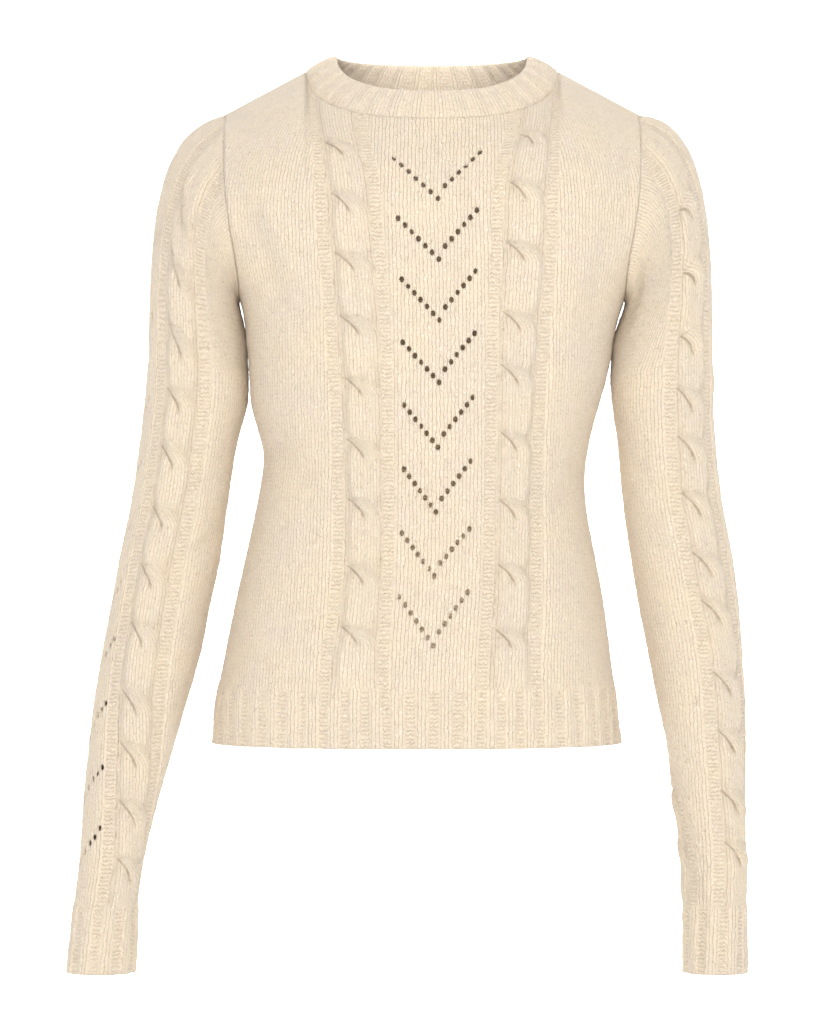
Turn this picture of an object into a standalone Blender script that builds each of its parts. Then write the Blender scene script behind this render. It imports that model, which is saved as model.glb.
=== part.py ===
"""Cable knit sweater, worn shape with no wearer: front, back, two sleeves and a neckband.

The garment hangs from the wearer's shoulders. The origin is in the middle of the neck, level with the
top of the neckband on the shoulders. +Z is up and the front faces -Y. Lengths below are in millimetres.
Every cloth piece is a thin closed wall: a smooth inner surface and an outer surface that carries the
cables, the purl ladders beside them and the ribs. Pieces stand SEAM_GAP apart along their seams.
"""
import math

import bpy
import numpy as np

MM = 0.001

# ---------------------------------------------------------------- driving dimensions
WALL = 2.6                # thickness of plain stockinette
SEAM_GAP = 0.5            # between two pieces at a seam
ROUNDNESS = 2.3           # exponent of the body's rounded sections
HEM_HEIGHT = -529.0
HEM_RIB = 45.0            # height of the ribbed hem
UNDERARM = -190.0
CHEST = -125.0            # where the armhole is deepest
ARMHOLE_REACH = {-1: 57.0, 1: 60.0}      # front and back depth of the armhole
NECK_SIDE = (97.0, 5.0, -12.0)           # half width, depth and height of the seam on the shoulder
NECK_REACH = {-1: 81.0, 1: 69.0}         # how far the neck seam runs forward and back
NECK_DROP = {-1: 43.0, 1: 12.0}          # how far it drops at the centre of the front and back
SHOULDER_TIP = (161.0, 6.0, -46.0)
YOKE_NECK_X = 94.0        # half width at the chest of the columns that end on the neck seam

LADDER_HALF = 4.4         # half width of the sunk purl column beside a cable
LADDER_STEP = 2.0         # width of the step from the ladder to the plain knitting
LADDER_SINK = -0.9
STRAND_CREST = 2.9        # height of a cable strand over the plain knitting
STRAND_OVER = 3.7         # height of the strand that crosses in front
STRAND_VALLEY = 1.0
CROSS_HALF = 9.5          # half the length of a crossing
RIB_PITCH = 17.6
RIB_HEIGHT = 1.1

SLEEVE_JOIN = -235.0      # below this the sleeve's sections are level
CUFF_HEIGHT = -704.0
CUFF_RIB = 52.0
CUFF_RIBS = 8             # ribs round the cuff
SLEEVE_LADDERS = (35.0, 71.0)            # distance of the ladders from the sleeve's centre line
CAP_PINCH = 0.6           # how far the sleeve's knitting narrows towards the shoulder
CAP_LEAVE = 0.93          # how squarely the sleeve leaves the armhole
UNDERARM_TUCK = 0.15      # how much less squarely it does so under the arm
# lead and rise: how far the cap's curve holds its direction above and below; drop: how steeply it leaves
CAPS = {
    "sleeve_left": {"lead": 50.0, "under_lead": 6.0, "rise": 120.0, "drop": 0.24},
    "sleeve_right": {"lead": 56.0, "under_lead": 9.0, "rise": 90.0, "drop": 0.06},
}
UNDERARM_RISE, UNDERARM_DROP = 16.0, 0.74
UNDERARM_EASE = 0.45      # how far the body's edge is drawn in at the bottom of the armhole
EASE_REACH = 18.0         # height over which that fades out above it

BAND_TOP_X = 74.0         # half width of the neck opening
BAND_REACH = {-1: 67.0, 1: 61.0}
BAND_DROP = {-1: 33.0, 1: 1.0}
BAND_RIBS = 30
NECK_POINTS = 80          # points round the neck seam; the inner side has half as many
BAND_BULGE = 1.6

EYELET_WIDTH = 3.9
EYELET_HEIGHT = 4.9
EYELETS_IN_ARM = 6
RIGHT_ARM_LIFT = 4.5      # the right arm of a chevron starts a course higher


def read_table(names, *rows):
    """Give each named column of a table as an array, in order of rising height."""
    values = np.array(sorted(rows), dtype=float)
    table = dict(zip(names.split(), values.T))
    if "height" in table:
        table["slopes"] = {name: np.gradient(column, table["height"]) for name, column in table.items()}
    return table


TORSO = read_table(
    "height centre half_width front_depth back_depth",
    (-529, -11.6, 157.0, 102, 104),
    (-497, -12.0, 154.0, 100, 102),
    (-466, -11.2, 149.0, 98, 99),
    (-420, -9.6, 141.3, 95, 94),
    (-389, -8.9, 135.0, 93, 89),
    (-343, -8.0, 126.2, 91, 83),
    (-312, -5.4, 124.2, 91, 81),
    (-266, -5.0, 134.6, 95, 84),
    (-250, -3.2, 137.4, 96.8, 86),
    (-235, -2.0, 139.5, 98.6, 88.2),
    (-223, -1.8, 140.8, 100, 90),
    (-190, 0.0, 148.0, 103, 94),
    (-180, 0.0, 152.0, 103.3, 94.7),
    (-165, 0.0, 160.0, 103.6, 95.5),
    (-150, 0.0, 167.5, 103.8, 96.2),
    (-140, 0.0, 171.3, 104, 96.6),
    (-125, 0.0, 174.6, 104, 97),
)
# where each ladder's middle runs on the front, from its -X side to its +X side
FRONT_LANES = read_table(
    "height left_outer left_inner right_inner right_outer",
    (-529, -82.5, -33.8, 35.2, 81.3),
    (-460, -79, -36, 39.5, 78.5),
    (-420, -73, -33.5, 42, 79.5),
    (-300, -71, -32.6, 45, 81),
    (-210, -76, -35, 46, 86),
    (-160, -80, -39, 48.5, 90),
    (-110, -84, -43, 50, 91),
)
# heights at which the two front cables start to cross
FRONT_CROSSINGS = read_table(
    "left right",
    (-112.6, -104.4),
    (-156.6, -149.1),
    (-204.0, -201.0),
    (-249.8, -240.8),
    (-296.0, -290.8),
    (-340.7, -341.5),
    (-390.7, -389.9),
    (-436.1, -438.4),
)
# the lowest eyelet of each chevron, and how far its two arms reach sideways and up from there
CHEVRONS = read_table(
    "height centre left_span right_span left_rise right_rise",
    (-118.1, 3.9, 32.8, 31.3, 30.5, 35.0),
    (-163.5, 4.6, 30.5, 28.3, 30.5, 36.5),
    (-208.9, 5.0, 28.1, 27.0, 30.5, 36.5),
    (-255.1, 4.8, 27.1, 26.5, 29.8, 36.5),
    (-303.5, 4.0, 25.3, 26.1, 31.3, 37.2),
    (-351.9, 2.4, 23.8, 26.1, 32.0, 38.0),
    (-399.6, 1.2, 24.3, 26.4, 32.0, 35.0),
    (-451.7, 0.4, 25.3, 25.7, 36.5, 39.8),
)
# direction in which the yoke's columns arrive at the top seam, from the centre line to the shoulder tip
# (height is the share of the way across)
YOKE_TOP = {
    -1: read_table(
        "height outward back up",
        (0.0, 0.0, 0.45, 0.89),
        (0.6, 0.0, 0.91, 0.41),
        (1.0, 0.15, 0.97, 0.22),
    ),
    1: read_table(
        "height outward back up",
        (0.0, 0.0, 0.33, 0.94),
        (0.6, 0.0, 0.91, 0.41),
        (1.0, 0.15, 0.97, 0.22),
    ),
}
SLEEVES = {
    "sleeve_left": read_table(
        "height centre half_width half_depth forward turn",
        (-704, -254.0, 25.8, 28.5, 14, 5),
        (-681, -252.0, 25.5, 28.5, 13, 5),
        (-651, -250.0, 24.3, 27.5, 12, 5),
        (-620, -246.0, 24.5, 28.0, 11, 6),
        (-574, -239.0, 28.5, 32.0, 9, 7),
        (-527, -230.0, 33.0, 37.0, 7, 7),
        (-497, -224.0, 35.5, 40.0, 5, 6),
        (-466, -217.0, 37.5, 42.0, 4, 5),
        (-420, -208.0, 38.0, 43.0, 2, 4),
        (-389, -202.0, 38.5, 43.5, 1, 4),
        (-343, -194.0, 37.0, 43.0, 0, 4),
        (-296, -187.0, 37.5, 43.5, -2, 4),
        (-266, -181.4, 39.6, 44.5, -2, 4),
        (-250, -180.4, 39.2, 44.8, -2, 4),
        (-235, -180.0, 38.1, 45.0, -2, 4),
    ),
    "sleeve_right": read_table(
        "height centre half_width half_depth forward turn",
        (-704, 217.0, 24.4, 28.0, 14, -28),
        (-681, 217.0, 24.2, 28.0, 13, -29),
        (-651, 217.0, 24.2, 27.5, 12, -30),
        (-620, 217.0, 24.3, 28.0, 11, -30),
        (-574, 214.0, 26.2, 30.5, 9, -27),
        (-527, 210.5, 30.5, 35.0, 7, -20),
        (-497, 207.0, 33.5, 38.0, 5, -17),
        (-466, 203.0, 35.5, 41.0, 4, -14),
        (-420, 197.0, 38.5, 43.0, 2, -8),
        (-389, 192.5, 39.0, 43.5, 1, -6),
        (-343, 185.0, 38.0, 43.0, 0, -6),
        (-296, 180.5, 37.6, 43.5, -2, -7),
        (-266, 177.6, 39.0, 44.5, -2, -7),
        (-250, 177.3, 39.8, 44.8, -2, -7),
        (-235, 177.0, 38.9, 45.0, -2, -7),
    ),
}
# heights at which the sleeve's cables start to cross, from the lowest up
SLEEVE_CROSSINGS = {
    "sleeve_left": (-614.0, -569.7, -525.7, -485.5, -433.9, -389.8, -345.8, -299.5, -256.0),
    "sleeve_right": (-601.6, -562.1, -515.8, -471.8, -417.2, -380.7, -335.2, -292.7, -256.0),
}
# share of the way from the last level crossing to the armhole at which each later crossing starts
CAP_CROSSINGS = (0.23, 0.46, 0.69)
CAP_CROSS_HALF = 0.047
SIDES = {"sleeve_left": -1, "sleeve_right": 1}

# soft folds: where each starts and ends (across, height), its width and depth; a negative depth is a trough
FRONT_FOLDS = (
    # start_x start_z end_x end_z width depth
    (-140, -120, -112, -205, 13, -2.6),
    (-128, -118, -104, -170, 12, 2.0),
    (138, -125, 118, -210, 13, -2.2),
    (-122, -300, -92, -330, 14, -1.8),
    (118, -318, 92, -350, 14, -1.8),
)
SLEEVE_FOLDS = {
    # start_q start_z end_q end_z width depth, q is the share of the way round from the outer line
    "sleeve_left": (
        (0.30, -120, 0.36, -190, 10, -2.8),
        (0.22, -150, 0.25, -215, 10, -2.2),
        (0.36, -330, 0.22, -350, 12, -2.0),
        (0.40, -372, 0.24, -396, 12, -2.2),
        (0.62, -350, 0.78, -372, 12, -2.2),
        (0.34, -560, 0.16, -582, 10, -1.8),
    ),
    "sleeve_right": (
        (0.30, -130, 0.38, -200, 10, -2.6),
        (0.38, -318, 0.22, -342, 12, -2.2),
        (0.36, -372, 0.20, -402, 12, -2.4),
        (0.62, -356, 0.80, -380, 12, -2.2),
        (0.36, -548, 0.18, -566, 10, -2.0),
    ),
}

# colour and roughness of each piece's knitting
FINISHES = {
    "front": ((0.80, 0.69, 0.53), 0.92),
    "back": ((0.79, 0.68, 0.53), 0.92),
    "sleeve_left": ((0.78, 0.68, 0.53), 0.92),
    "sleeve_right": ((0.80, 0.70, 0.54), 0.92),
    "neckband": ((0.81, 0.71, 0.55), 0.90),
}


# ---------------------------------------------------------------- small helpers
def smooth(table, name, at):
    """Read a table's column at any height on a smooth curve through its rows."""
    knots = table["height"]
    values = table[name]
    slopes = table["slopes"][name]
    at = np.clip(at, knots[0], knots[-1])
    low = np.clip(np.searchsorted(knots, at) - 1, 0, len(knots) - 2)
    gap = knots[low + 1] - knots[low]
    f = (at - knots[low]) / gap
    start = (2 * f**3 - 3 * f**2 + 1) * values[low] + (f**3 - 2 * f**2 + f) * gap * slopes[low]
    end = (3 * f**2 - 2 * f**3) * values[low + 1] + (f**3 - f**2) * gap * slopes[low + 1]
    return start + end


def stack(x, y, z):
    """Points from three arrays that may need stretching to one length."""
    return np.stack(np.broadcast_arrays(x, y, z), axis=-1).astype(float)


def unit(vectors):
    return vectors / np.linalg.norm(vectors, axis=-1, keepdims=True)


def bezier(p0, p1, p2, p3, f):
    f = np.asarray(f)[..., None]
    g = 1.0 - f
    return g**3 * p0 + 3 * g**2 * f * p1 + 3 * g * f**2 * p2 + f**3 * p3


def fold_depth(folds, across, height):
    """Sum of the soft folds at each point; each fades out from its middle line and at its ends."""
    total = np.zeros(np.broadcast(across, height).shape)
    for x0, z0, x1, z1, width, depth in folds:
        along = np.array([x1 - x0, z1 - z0])
        length = np.linalg.norm(along)
        along = along / length
        dx = across - x0
        dz = height - z0
        run = (dx * along[0] + dz * along[1]) / length
        off = (dz * along[0] - dx * along[1]) / width
        total += depth * np.exp(-off**2 * 2.0) * np.exp(-((run - 0.5) * 1.9) ** 4)
    return total


# ---------------------------------------------------------------- body surface
def torso_width(height):
    """Half width of the body's rounded section; above the underarm the armhole cuts its sides away."""
    return smooth(TORSO, "half_width", height)


def torso_depth(face, height):
    return smooth(TORSO, "front_depth" if face < 0 else "back_depth", height)


def armhole_low(face, height):
    """Half width and depth of the armhole edge between the underarm and the chest line."""
    share = np.clip((CHEST - height) / (CHEST - UNDERARM), 0.0, 1.0)
    depth = ARMHOLE_REACH[face] * np.sqrt(1.0 - share**2)
    ahead = (depth / torso_depth(face, height)) ** ROUNDNESS
    return torso_width(height) * (1.0 - ahead) ** (1.0 / ROUNDNESS), depth


def edge_angle(face, height):
    """Angle from the centre of the front or back to the side seam or the armhole edge."""
    edge_x, edge_y = armhole_low(face, height)
    return np.where(height > UNDERARM, np.arctan2(edge_x, edge_y), math.pi / 2)


def torso_ring(face, angle, height):
    """Point of the body's rounded section at an angle from the middle of the front or back."""
    width = torso_width(height)
    depth = torso_depth(face, height)
    across = (np.abs(np.sin(angle)) / width) ** ROUNDNESS
    ahead = (np.abs(np.cos(angle)) / depth) ** ROUNDNESS
    reach = (across + ahead) ** (-1.0 / ROUNDNESS)
    x = smooth(TORSO, "centre", height) + reach * np.sin(angle)
    return stack(x, face * reach * np.cos(angle), height)


def angle_at_x(face, x, height):
    """Angle of the point of a section that has a given x."""
    offset = x - smooth(TORSO, "centre", height)
    share = np.clip(np.abs(offset) / torso_width(height), 0.0, 0.97)
    ahead = torso_depth(face, height) * (1.0 - share**ROUNDNESS) ** (1.0 / ROUNDNESS)
    return np.arctan2(offset, ahead)


def neck_seam(face, angle):
    """Point of the neck seam; the angle runs from the middle of the front or back to +-90 degrees."""
    half, depth, height = NECK_SIDE
    drop = NECK_DROP[face] * np.clip(1.0 - np.abs(np.sin(angle)) ** 2.6, 0.0, 1.0) ** (1 / 2.2)
    return stack(half * np.sin(angle), depth + face * NECK_REACH[face] * np.cos(angle), height - drop)


def neck_angle(x):
    """Angle at which a column of the chest line meets the neck seam; the columns fan out a little."""
    share = np.clip(x / YOKE_NECK_X, -1.0, 1.0)
    return 0.5 * (np.arcsin(share) + share * math.pi / 2)


def neck_column(angle):
    """x at the chest line of the column that meets the neck seam at an angle."""
    x = np.sin(np.linspace(-math.pi / 2, math.pi / 2, 721)) * YOKE_NECK_X
    return np.interp(angle, neck_angle(x), x)


def top_seam(face, x):
    """Point of the neck seam or the shoulder seam above a given x of the chest line."""
    size = np.abs(x)
    side = np.sign(x) + (x == 0)
    neck = neck_seam(face, neck_angle(x))
    edge_x, _ = armhole_low(face, CHEST)
    share = np.clip((size - YOKE_NECK_X) / (edge_x - YOKE_NECK_X), 0.0, 1.0)[..., None]
    start = stack(side * NECK_SIDE[0], NECK_SIDE[1], NECK_SIDE[2])
    end = stack(side * SHOULDER_TIP[0], SHOULDER_TIP[1], SHOULDER_TIP[2])
    return np.where(size[..., None] <= YOKE_NECK_X, neck, start + (end - start) * share)


def yoke_controls(face, angle):
    """The four control points of each yoke column, from the chest line to the top seam."""
    base = torso_ring(face, angle, CHEST)
    share = angle / edge_angle(face, CHEST)
    below = torso_ring(face, share * edge_angle(face, CHEST - 3.0), CHEST - 3.0)
    top = top_seam(face, base[..., 0])
    size = np.clip(np.abs(share), 0.0, 1.0)
    table = YOKE_TOP[face]
    outward = smooth(table, "outward", size) * np.sign(share)
    arrive = unit(stack(outward, -face * smooth(table, "back", size), smooth(table, "up", size)))
    length = np.linalg.norm(top - base, axis=-1, keepdims=True)
    return base, base + 0.4 * length * unit(base - below), top - 0.4 * length * arrive, top


def curve_length(controls):
    """Length of each of several Bezier curves, along eight chords."""
    steps = [bezier(*controls, np.full(controls[0].shape[:-1], f)) for f in np.linspace(0, 1, 9)]
    return np.sum(np.linalg.norm(np.diff(steps, axis=0), axis=-1), axis=0)


def yoke_length(face, angle):
    return curve_length(yoke_controls(face, angle))


def torso_point(face, angle, height):
    """Point of the body; above the chest line the height is measured along the cloth."""
    angle = np.asarray(angle, dtype=float)
    height = np.broadcast_to(np.asarray(height, dtype=float), angle.shape)
    low = torso_ring(face, angle, np.minimum(height, CHEST))
    if height.max() <= CHEST:
        return low
    controls = yoke_controls(face, angle)
    share = np.clip((height - CHEST) / curve_length(controls), 0.0, 1.0)
    return np.where(height[..., None] > CHEST, bezier(*controls, share), low)


def torso_normal(face, angle, height):
    """Outward direction, from two small steps along the cloth."""
    turn = 0.004
    rise = 0.5
    limit = edge_angle(face, np.minimum(height, CHEST))
    a = torso_point(face, np.clip(angle - turn, -limit, limit), height)
    b = torso_point(face, np.clip(angle + turn, -limit, limit), height)
    c = torso_point(face, angle, height - rise)
    d = torso_point(face, angle, height + rise)
    d = np.where(np.linalg.norm(d - c, axis=-1, keepdims=True) < 1e-6, c + [0, 0, 1], d)
    return unit(np.cross(b - a, d - c)) * -face


# ---------------------------------------------------------------- seam lines
def armhole_line(side, q):
    """Point of the armhole; q runs once round from the shoulder tip over the front and the underarm."""
    q = np.mod(np.asarray(q, dtype=float), 1.0)
    points = np.zeros(q.shape + (3,))
    for face, way in ((-1, q), (1, 1.0 - q)):
        turn = (0.5 - way) / 0.25 * math.pi / 2
        height = CHEST - (CHEST - UNDERARM) * np.cos(np.clip(turn, 0, math.pi / 2))
        edge_x, _ = armhole_low(face, height)
        depth = face * ARMHOLE_REACH[face] * np.sin(np.clip(turn, 0, math.pi / 2))
        low = stack(side * edge_x, depth, height)
        angle = np.full(q.shape, side * edge_angle(face, CHEST))
        high = bezier(*yoke_controls(face, angle), np.clip(1.0 - way / 0.25, 0.0, 1.0))
        here = (q <= 0.5) if face < 0 else (q > 0.5)
        points = np.where(here[..., None], np.where((way < 0.25)[..., None], high, low), points)
    return points


def armhole_frame(side, q):
    """Armhole point, the direction of the cloth's thickness there and the direction into the body."""
    point = armhole_line(side, q)
    tangent = unit(armhole_line(side, q + 0.004) - armhole_line(side, q - 0.004))
    radial = unit((point - [0.0, 0.0, 0.5 * (UNDERARM + SHOULDER_TIP[2])]) * [0.0, 1.0, 1.0])
    tilt = 0.35 + 0.45 * (1.0 - np.cos(2 * math.pi * q)) / 2
    thick = unit(radial + stack(side * tilt, 0.0, 0.0))
    inward = unit(np.cross(tangent, thick))
    return point, thick, inward * -np.sign(inward[..., :1] * side)


def neck_frame(face, angle):
    """Neck seam point, thickness direction and the direction along the cloth towards the body."""
    point = neck_seam(face, angle)
    level = {-1: 0.52, 1: 0.33}[face]
    up = level + (0.89 - level) * np.sin(angle) ** 2
    flat = np.sqrt(1.0 - up**2)
    thick = stack(flat * np.sin(angle), face * flat * np.cos(angle), up)
    step = neck_seam(face, angle + 0.01) - neck_seam(face, angle - 0.01)
    step = np.where(np.abs(np.cos(angle))[..., None] < 0.03, [0.0, 1.0, 0.0], step)
    down = unit(np.cross(step, thick))
    return point, thick, down * -np.sign(down[..., 2:])


def armhole_way(face, side, height):
    """Share of the way round the armhole from the shoulder tip to a height on a panel's edge."""
    if height <= CHEST:
        share = (CHEST - height) / (CHEST - UNDERARM)
        return 0.5 - math.acos(share) / (math.pi / 2) * 0.25
    length = yoke_length(face, np.array([side * float(edge_angle(face, CHEST))]))[0]
    return 0.25 * (1.0 - min((height - CHEST) / length, 1.0))


def edge_place(face, side, height):
    """Place of a point along a panel's side edge: 0 at the hem, 1 at the underarm, 2 at the shoulder tip."""
    if height <= UNDERARM:
        return (height - HEM_HEIGHT) / (UNDERARM - HEM_HEIGHT)
    return 2.0 - 2.0 * armhole_way(face, side, height)


# places round each armhole where the body panels have a point, kept so that the sleeve has the same ones
armhole_places = {(side, inner): {0.0, 0.5} for side in (-1, 1) for inner in (False, True)}


def underarm_ease(side, height):
    """Small step towards the middle that keeps the body's edge clear of the sleeve's underarm."""
    share = np.clip(1.0 - (height - UNDERARM) / EASE_REACH, 0.0, 1.0)
    return np.array([-side * UNDERARM_EASE * share, 0.0, 0.0])


def panel_edge(face, side, height, inner=False):
    """Outer point and thickness direction on the side seam or the armhole edge of a body panel."""
    if height <= UNDERARM:
        angle = np.array([side * math.pi / 2])
        point = torso_point(face, angle, height)[0]
        thick = torso_normal(face, angle, height)[0] * [1.0, 0.0, 1.0]
        thick = unit(thick)
        shift = np.array([0.0, face * SEAM_GAP / 2, 0.0])
        if height == UNDERARM:
            point, thick, inward = (value[0] for value in armhole_frame(side, np.array([0.5])))
            shift = shift + inward * SEAM_GAP / 2 + underarm_ease(side, height)
        return point + shift, thick
    way = armhole_way(face, side, height)
    q = way if face < 0 else 1.0 - way
    point, thick, inward = (value[0] for value in armhole_frame(side, np.array([q])))
    shift = inward * SEAM_GAP / 2 + underarm_ease(side, height)
    if way < 0.001:
        shift = shift + [0.0, face * SEAM_GAP / 2, 0.0]
    else:
        armhole_places[side, inner].add(q)
    return point + shift, thick


# ---------------------------------------------------------------- walls
class Wall:
    """A closed thin solid, gathered as points and triangles."""

    def __init__(self):
        self.points = []
        self.faces = []

    def add(self, points):
        start = len(self.points)
        self.points.extend(np.asarray(points, dtype=float).tolist())
        return np.arange(start, len(self.points))

    def strip(self, low, low_at, high, high_at, turned=False):
        """Join two chains of points whose places along the strip are low_at and high_at.

        The low chain moves on first where both could, so equal chains give diagonals that lean to the
        upper left, as the strands of the cables do.
        """
        i = j = 0
        while i < len(low) - 1 or j < len(high) - 1:
            first = j == len(high) - 1 or (i < len(low) - 1 and low_at[i + 1] <= high_at[j + 1] + 1e-9)
            if first:
                face = (low[i], low[i + 1], high[j])
                i += 1
            else:
                face = (low[i], high[j + 1], high[j])
                j += 1
            self.faces.append(face[::-1] if turned else face)

    def make(self, name):
        mesh = bpy.data.meshes.new(name)
        faces = [tuple(int(index) for index in face) for face in self.faces]
        mesh.from_pydata((np.array(self.points) * MM).tolist(), [], faces)
        mesh.shade_smooth()
        mesh.set_sharp_from_angle(angle=math.radians(50))
        body = bpy.data.objects.new(name, mesh)
        bpy.context.collection.objects.link(body)
        colour, roughness = FINISHES[name]
        material = bpy.data.materials.new(name + "_knit")
        material.use_nodes = True
        shader = material.node_tree.nodes["Principled BSDF"]
        shader.inputs["Base Color"].default_value = (*colour, 1.0)
        shader.inputs["Roughness"].default_value = roughness
        shader.inputs["Metallic"].default_value = 0.0
        mesh.materials.append(material)
        return body


def closed(indices):
    return np.append(indices, indices[0])


def rib_columns(start, end, count):
    """Places and raised heights of ribs between two ends: four points to a rib, sunk at both ends."""
    pitch = (end - start) / count
    shape = ((0.08, 0.0), (0.24, 1.0), (0.62, 1.0), (0.78, 0.0))
    places = [start + pitch * (rib + share) for rib in range(count) for share, _ in shape]
    heights = [RIB_HEIGHT * height for _ in range(count) for _, height in shape]
    return np.array(places), np.array(heights)


def cable_group(outer, inner):
    """Places of the nine columns across one cable, from its first ladder to its second."""
    way = np.sign(inner - outer)
    first = outer + way * LADDER_HALF
    last = inner - way * LADDER_HALF
    step = (LADDER_HALF + LADDER_STEP) * way
    places = [outer - step, outer - way * LADDER_HALF]
    places += [first + (last - first) * share for share in (0.0, 0.25, 0.5, 0.75, 1.0)]
    places += [inner + way * LADDER_HALF, inner + step]
    return places


def cable_relief(role):
    """Heights of a cable group's nine columns in one row."""
    if role == "crossing":
        strands = [STRAND_VALLEY, STRAND_OVER, STRAND_VALLEY]
    else:
        strands = [STRAND_CREST, STRAND_VALLEY, STRAND_CREST]
    return [0.0, LADDER_SINK, LADDER_SINK] + strands + [LADDER_SINK, LADDER_SINK, 0.0]


# ---------------------------------------------------------------- front and back
SIDE_COLUMNS = 5
CABLE_COLUMNS = 9
CENTRE_COLUMNS = 3
YOKE_ROWS = ((0.2, "plain"), (0.39, "plain"), (0.52, "crossing"), (0.65, "plain"), (0.84, "plain"))


def front_lanes(height):
    """x of every inner column of the front at one height."""
    low = min(height, CHEST + 15.0)
    names = ("left_outer", "left_inner", "right_inner", "right_outer")
    edges = [float(smooth(FRONT_LANES, name, low)) for name in names]
    left = cable_group(edges[0], edges[1])
    right = cable_group(edges[2], edges[3])
    centre = np.linspace(left[-1], right[0], CENTRE_COLUMNS + 2)[1:-1].tolist()
    return left + centre + right


def front_relief(role):
    """Relief of every column of the front in one row."""
    plain = [0.0] * SIDE_COLUMNS
    return np.array(plain + cable_relief(role) + [0.0] * CENTRE_COLUMNS + cable_relief(role) + plain)


def front_angles(left_height, right_height):
    """Heights and angles of the front's columns; a row may be higher on its right half."""
    lanes_left = front_lanes(min(left_height, CHEST))
    lanes_right = front_lanes(min(right_height, CHEST))
    count = len(lanes_left)
    blend = np.clip((np.arange(count) - CABLE_COLUMNS + 1) / (count - 2 * CABLE_COLUMNS + 1), 0.0, 1.0)
    x = np.array(lanes_left) * (1 - blend) + np.array(lanes_right) * blend
    height = left_height * (1 - blend) + right_height * blend
    angles = angle_at_x(-1, x, np.minimum(height, CHEST))
    shares = np.arange(SIDE_COLUMNS) / SIDE_COLUMNS
    left_edge = -float(edge_angle(-1, min(left_height, CHEST)))
    right_edge = float(edge_angle(-1, min(right_height, CHEST)))
    left = left_edge + (angles[0] - left_edge) * shares
    right = right_edge + (angles[-1] - right_edge) * shares[::-1]
    ends = [np.full(SIDE_COLUMNS, end) for end in (left_height, right_height)]
    return np.concatenate([left, angles, right]), np.concatenate([ends[0], height, ends[1]])


def set_edges(face, points, inner, heights):
    """Put the first and last points of a row on the panel's edges; inner rows lie a wall deeper."""
    for index, side in ((0, -1), (-1, 1)):
        point, thick = panel_edge(face, side, float(heights[index]), inner)
        points[index] = point - thick * (WALL if inner else 0.0)
    return points


def panel_row(face, angles, heights, relief, inner=False):
    """One row of a panel's outer or inner surface."""
    points = torso_point(face, angles, heights)
    normals = torso_normal(face, angles, heights)
    if face < 0:
        relief = relief + fold_depth(FRONT_FOLDS, points[:, 0], points[:, 2])
    depth = relief - (WALL if inner else 0.0)
    points = points + normals * depth[:, None]
    return set_edges(face, points, inner, heights)


def top_row(face, inner, count_shoulder, count_neck):
    """The panel's top edge: shoulder seam, neck seam, shoulder seam, with the x of each chest column."""
    edge = float(armhole_low(face, CHEST)[0])
    shoulder = np.linspace(edge, YOKE_NECK_X, count_shoulder + 1)
    neck = np.linspace(-math.pi / 2, math.pi / 2, count_neck + 1)
    x = np.concatenate([-shoulder[:-1], neck_column(neck), shoulder[:-1][::-1]])
    points = np.zeros((len(x), 3))
    for index, place in enumerate(x):
        side = -1 if place < 0 else 1
        if abs(place) > edge - 1e-6:
            point, thick = panel_edge(face, side, 1e3, inner)
        elif abs(place) > YOKE_NECK_X - 1e-6:
            point = top_seam(face, np.array([place]))[0]
            run = np.array(SHOULDER_TIP) - np.array(NECK_SIDE)
            thick = unit(np.array([-run[2] * side, 0.0, run[0]]))
            point = point + [0.0, face * SEAM_GAP / 2, 0.0]
            if abs(place) < YOKE_NECK_X + 1e-6:
                down = neck_frame(face, np.array([side * math.pi / 2]))[2][0]
                point = point + down * SEAM_GAP / 2
        else:
            angle = neck_angle(np.array([place]))
            point, thick, down = (value[0] for value in neck_frame(face, angle))
            point = point + down * SEAM_GAP / 2
        points[index] = point - thick * (WALL if inner else 0.0)
    return points, x


def chest_x(face, angles):
    return torso_ring(face, angles, CHEST)[:, 0]


def build_front():
    """Rows from the hem to the yoke, each with its cables at the right stage of their crossing."""
    wall = Wall()
    rows = [(HEM_HEIGHT + HEM_RIB + 7.0,) * 2 + ("plain",)]
    for left, right in zip(FRONT_CROSSINGS["left"], FRONT_CROSSINGS["right"]):
        rows.append((left - 2 * CROSS_HALF, right - 2 * CROSS_HALF, "plain"))
        rows.append((left - CROSS_HALF, right - CROSS_HALF, "crossing"))
        rows.append((left, right, "plain"))
    rows.append((UNDERARM, UNDERARM, "plain"))
    rows.append((UNDERARM + 3.5, UNDERARM + 3.5, "plain"))
    rows.append((UNDERARM + 9.0, UNDERARM + 9.0, "plain"))
    rows.sort(key=lambda row: row[0])
    outer = []
    edges = []
    for left, right, role in rows:
        angles, heights = front_angles(left, right)
        outer.append(wall.add(panel_row(-1, angles, heights, front_relief(role))))
        edges.append((left, right))
    length = yoke_length(-1, angles)
    for share, role in YOKE_ROWS:
        raised = heights + share * (CHEST + length - heights)
        outer.append(wall.add(panel_row(-1, angles, raised, front_relief(role))))
        edges.append((raised[0], raised[-1]))
    index = np.arange(len(angles))
    for low, high in zip(outer[:-1], outer[1:]):
        wall.strip(low, index, high, index)
    edge_points, edge_x = top_row(-1, False, 6, NECK_POINTS // 2)
    top = wall.add(edge_points)
    wall.strip(outer[-1], chest_x(-1, angles), top, edge_x)
    ribs = panel_ribs(wall, -1, outer[0], front_angles(rows[0][0], rows[0][0])[0])
    close_panel(wall, -1, ribs + outer, edges, top, edge_x)
    return wall.make("front")


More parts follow.
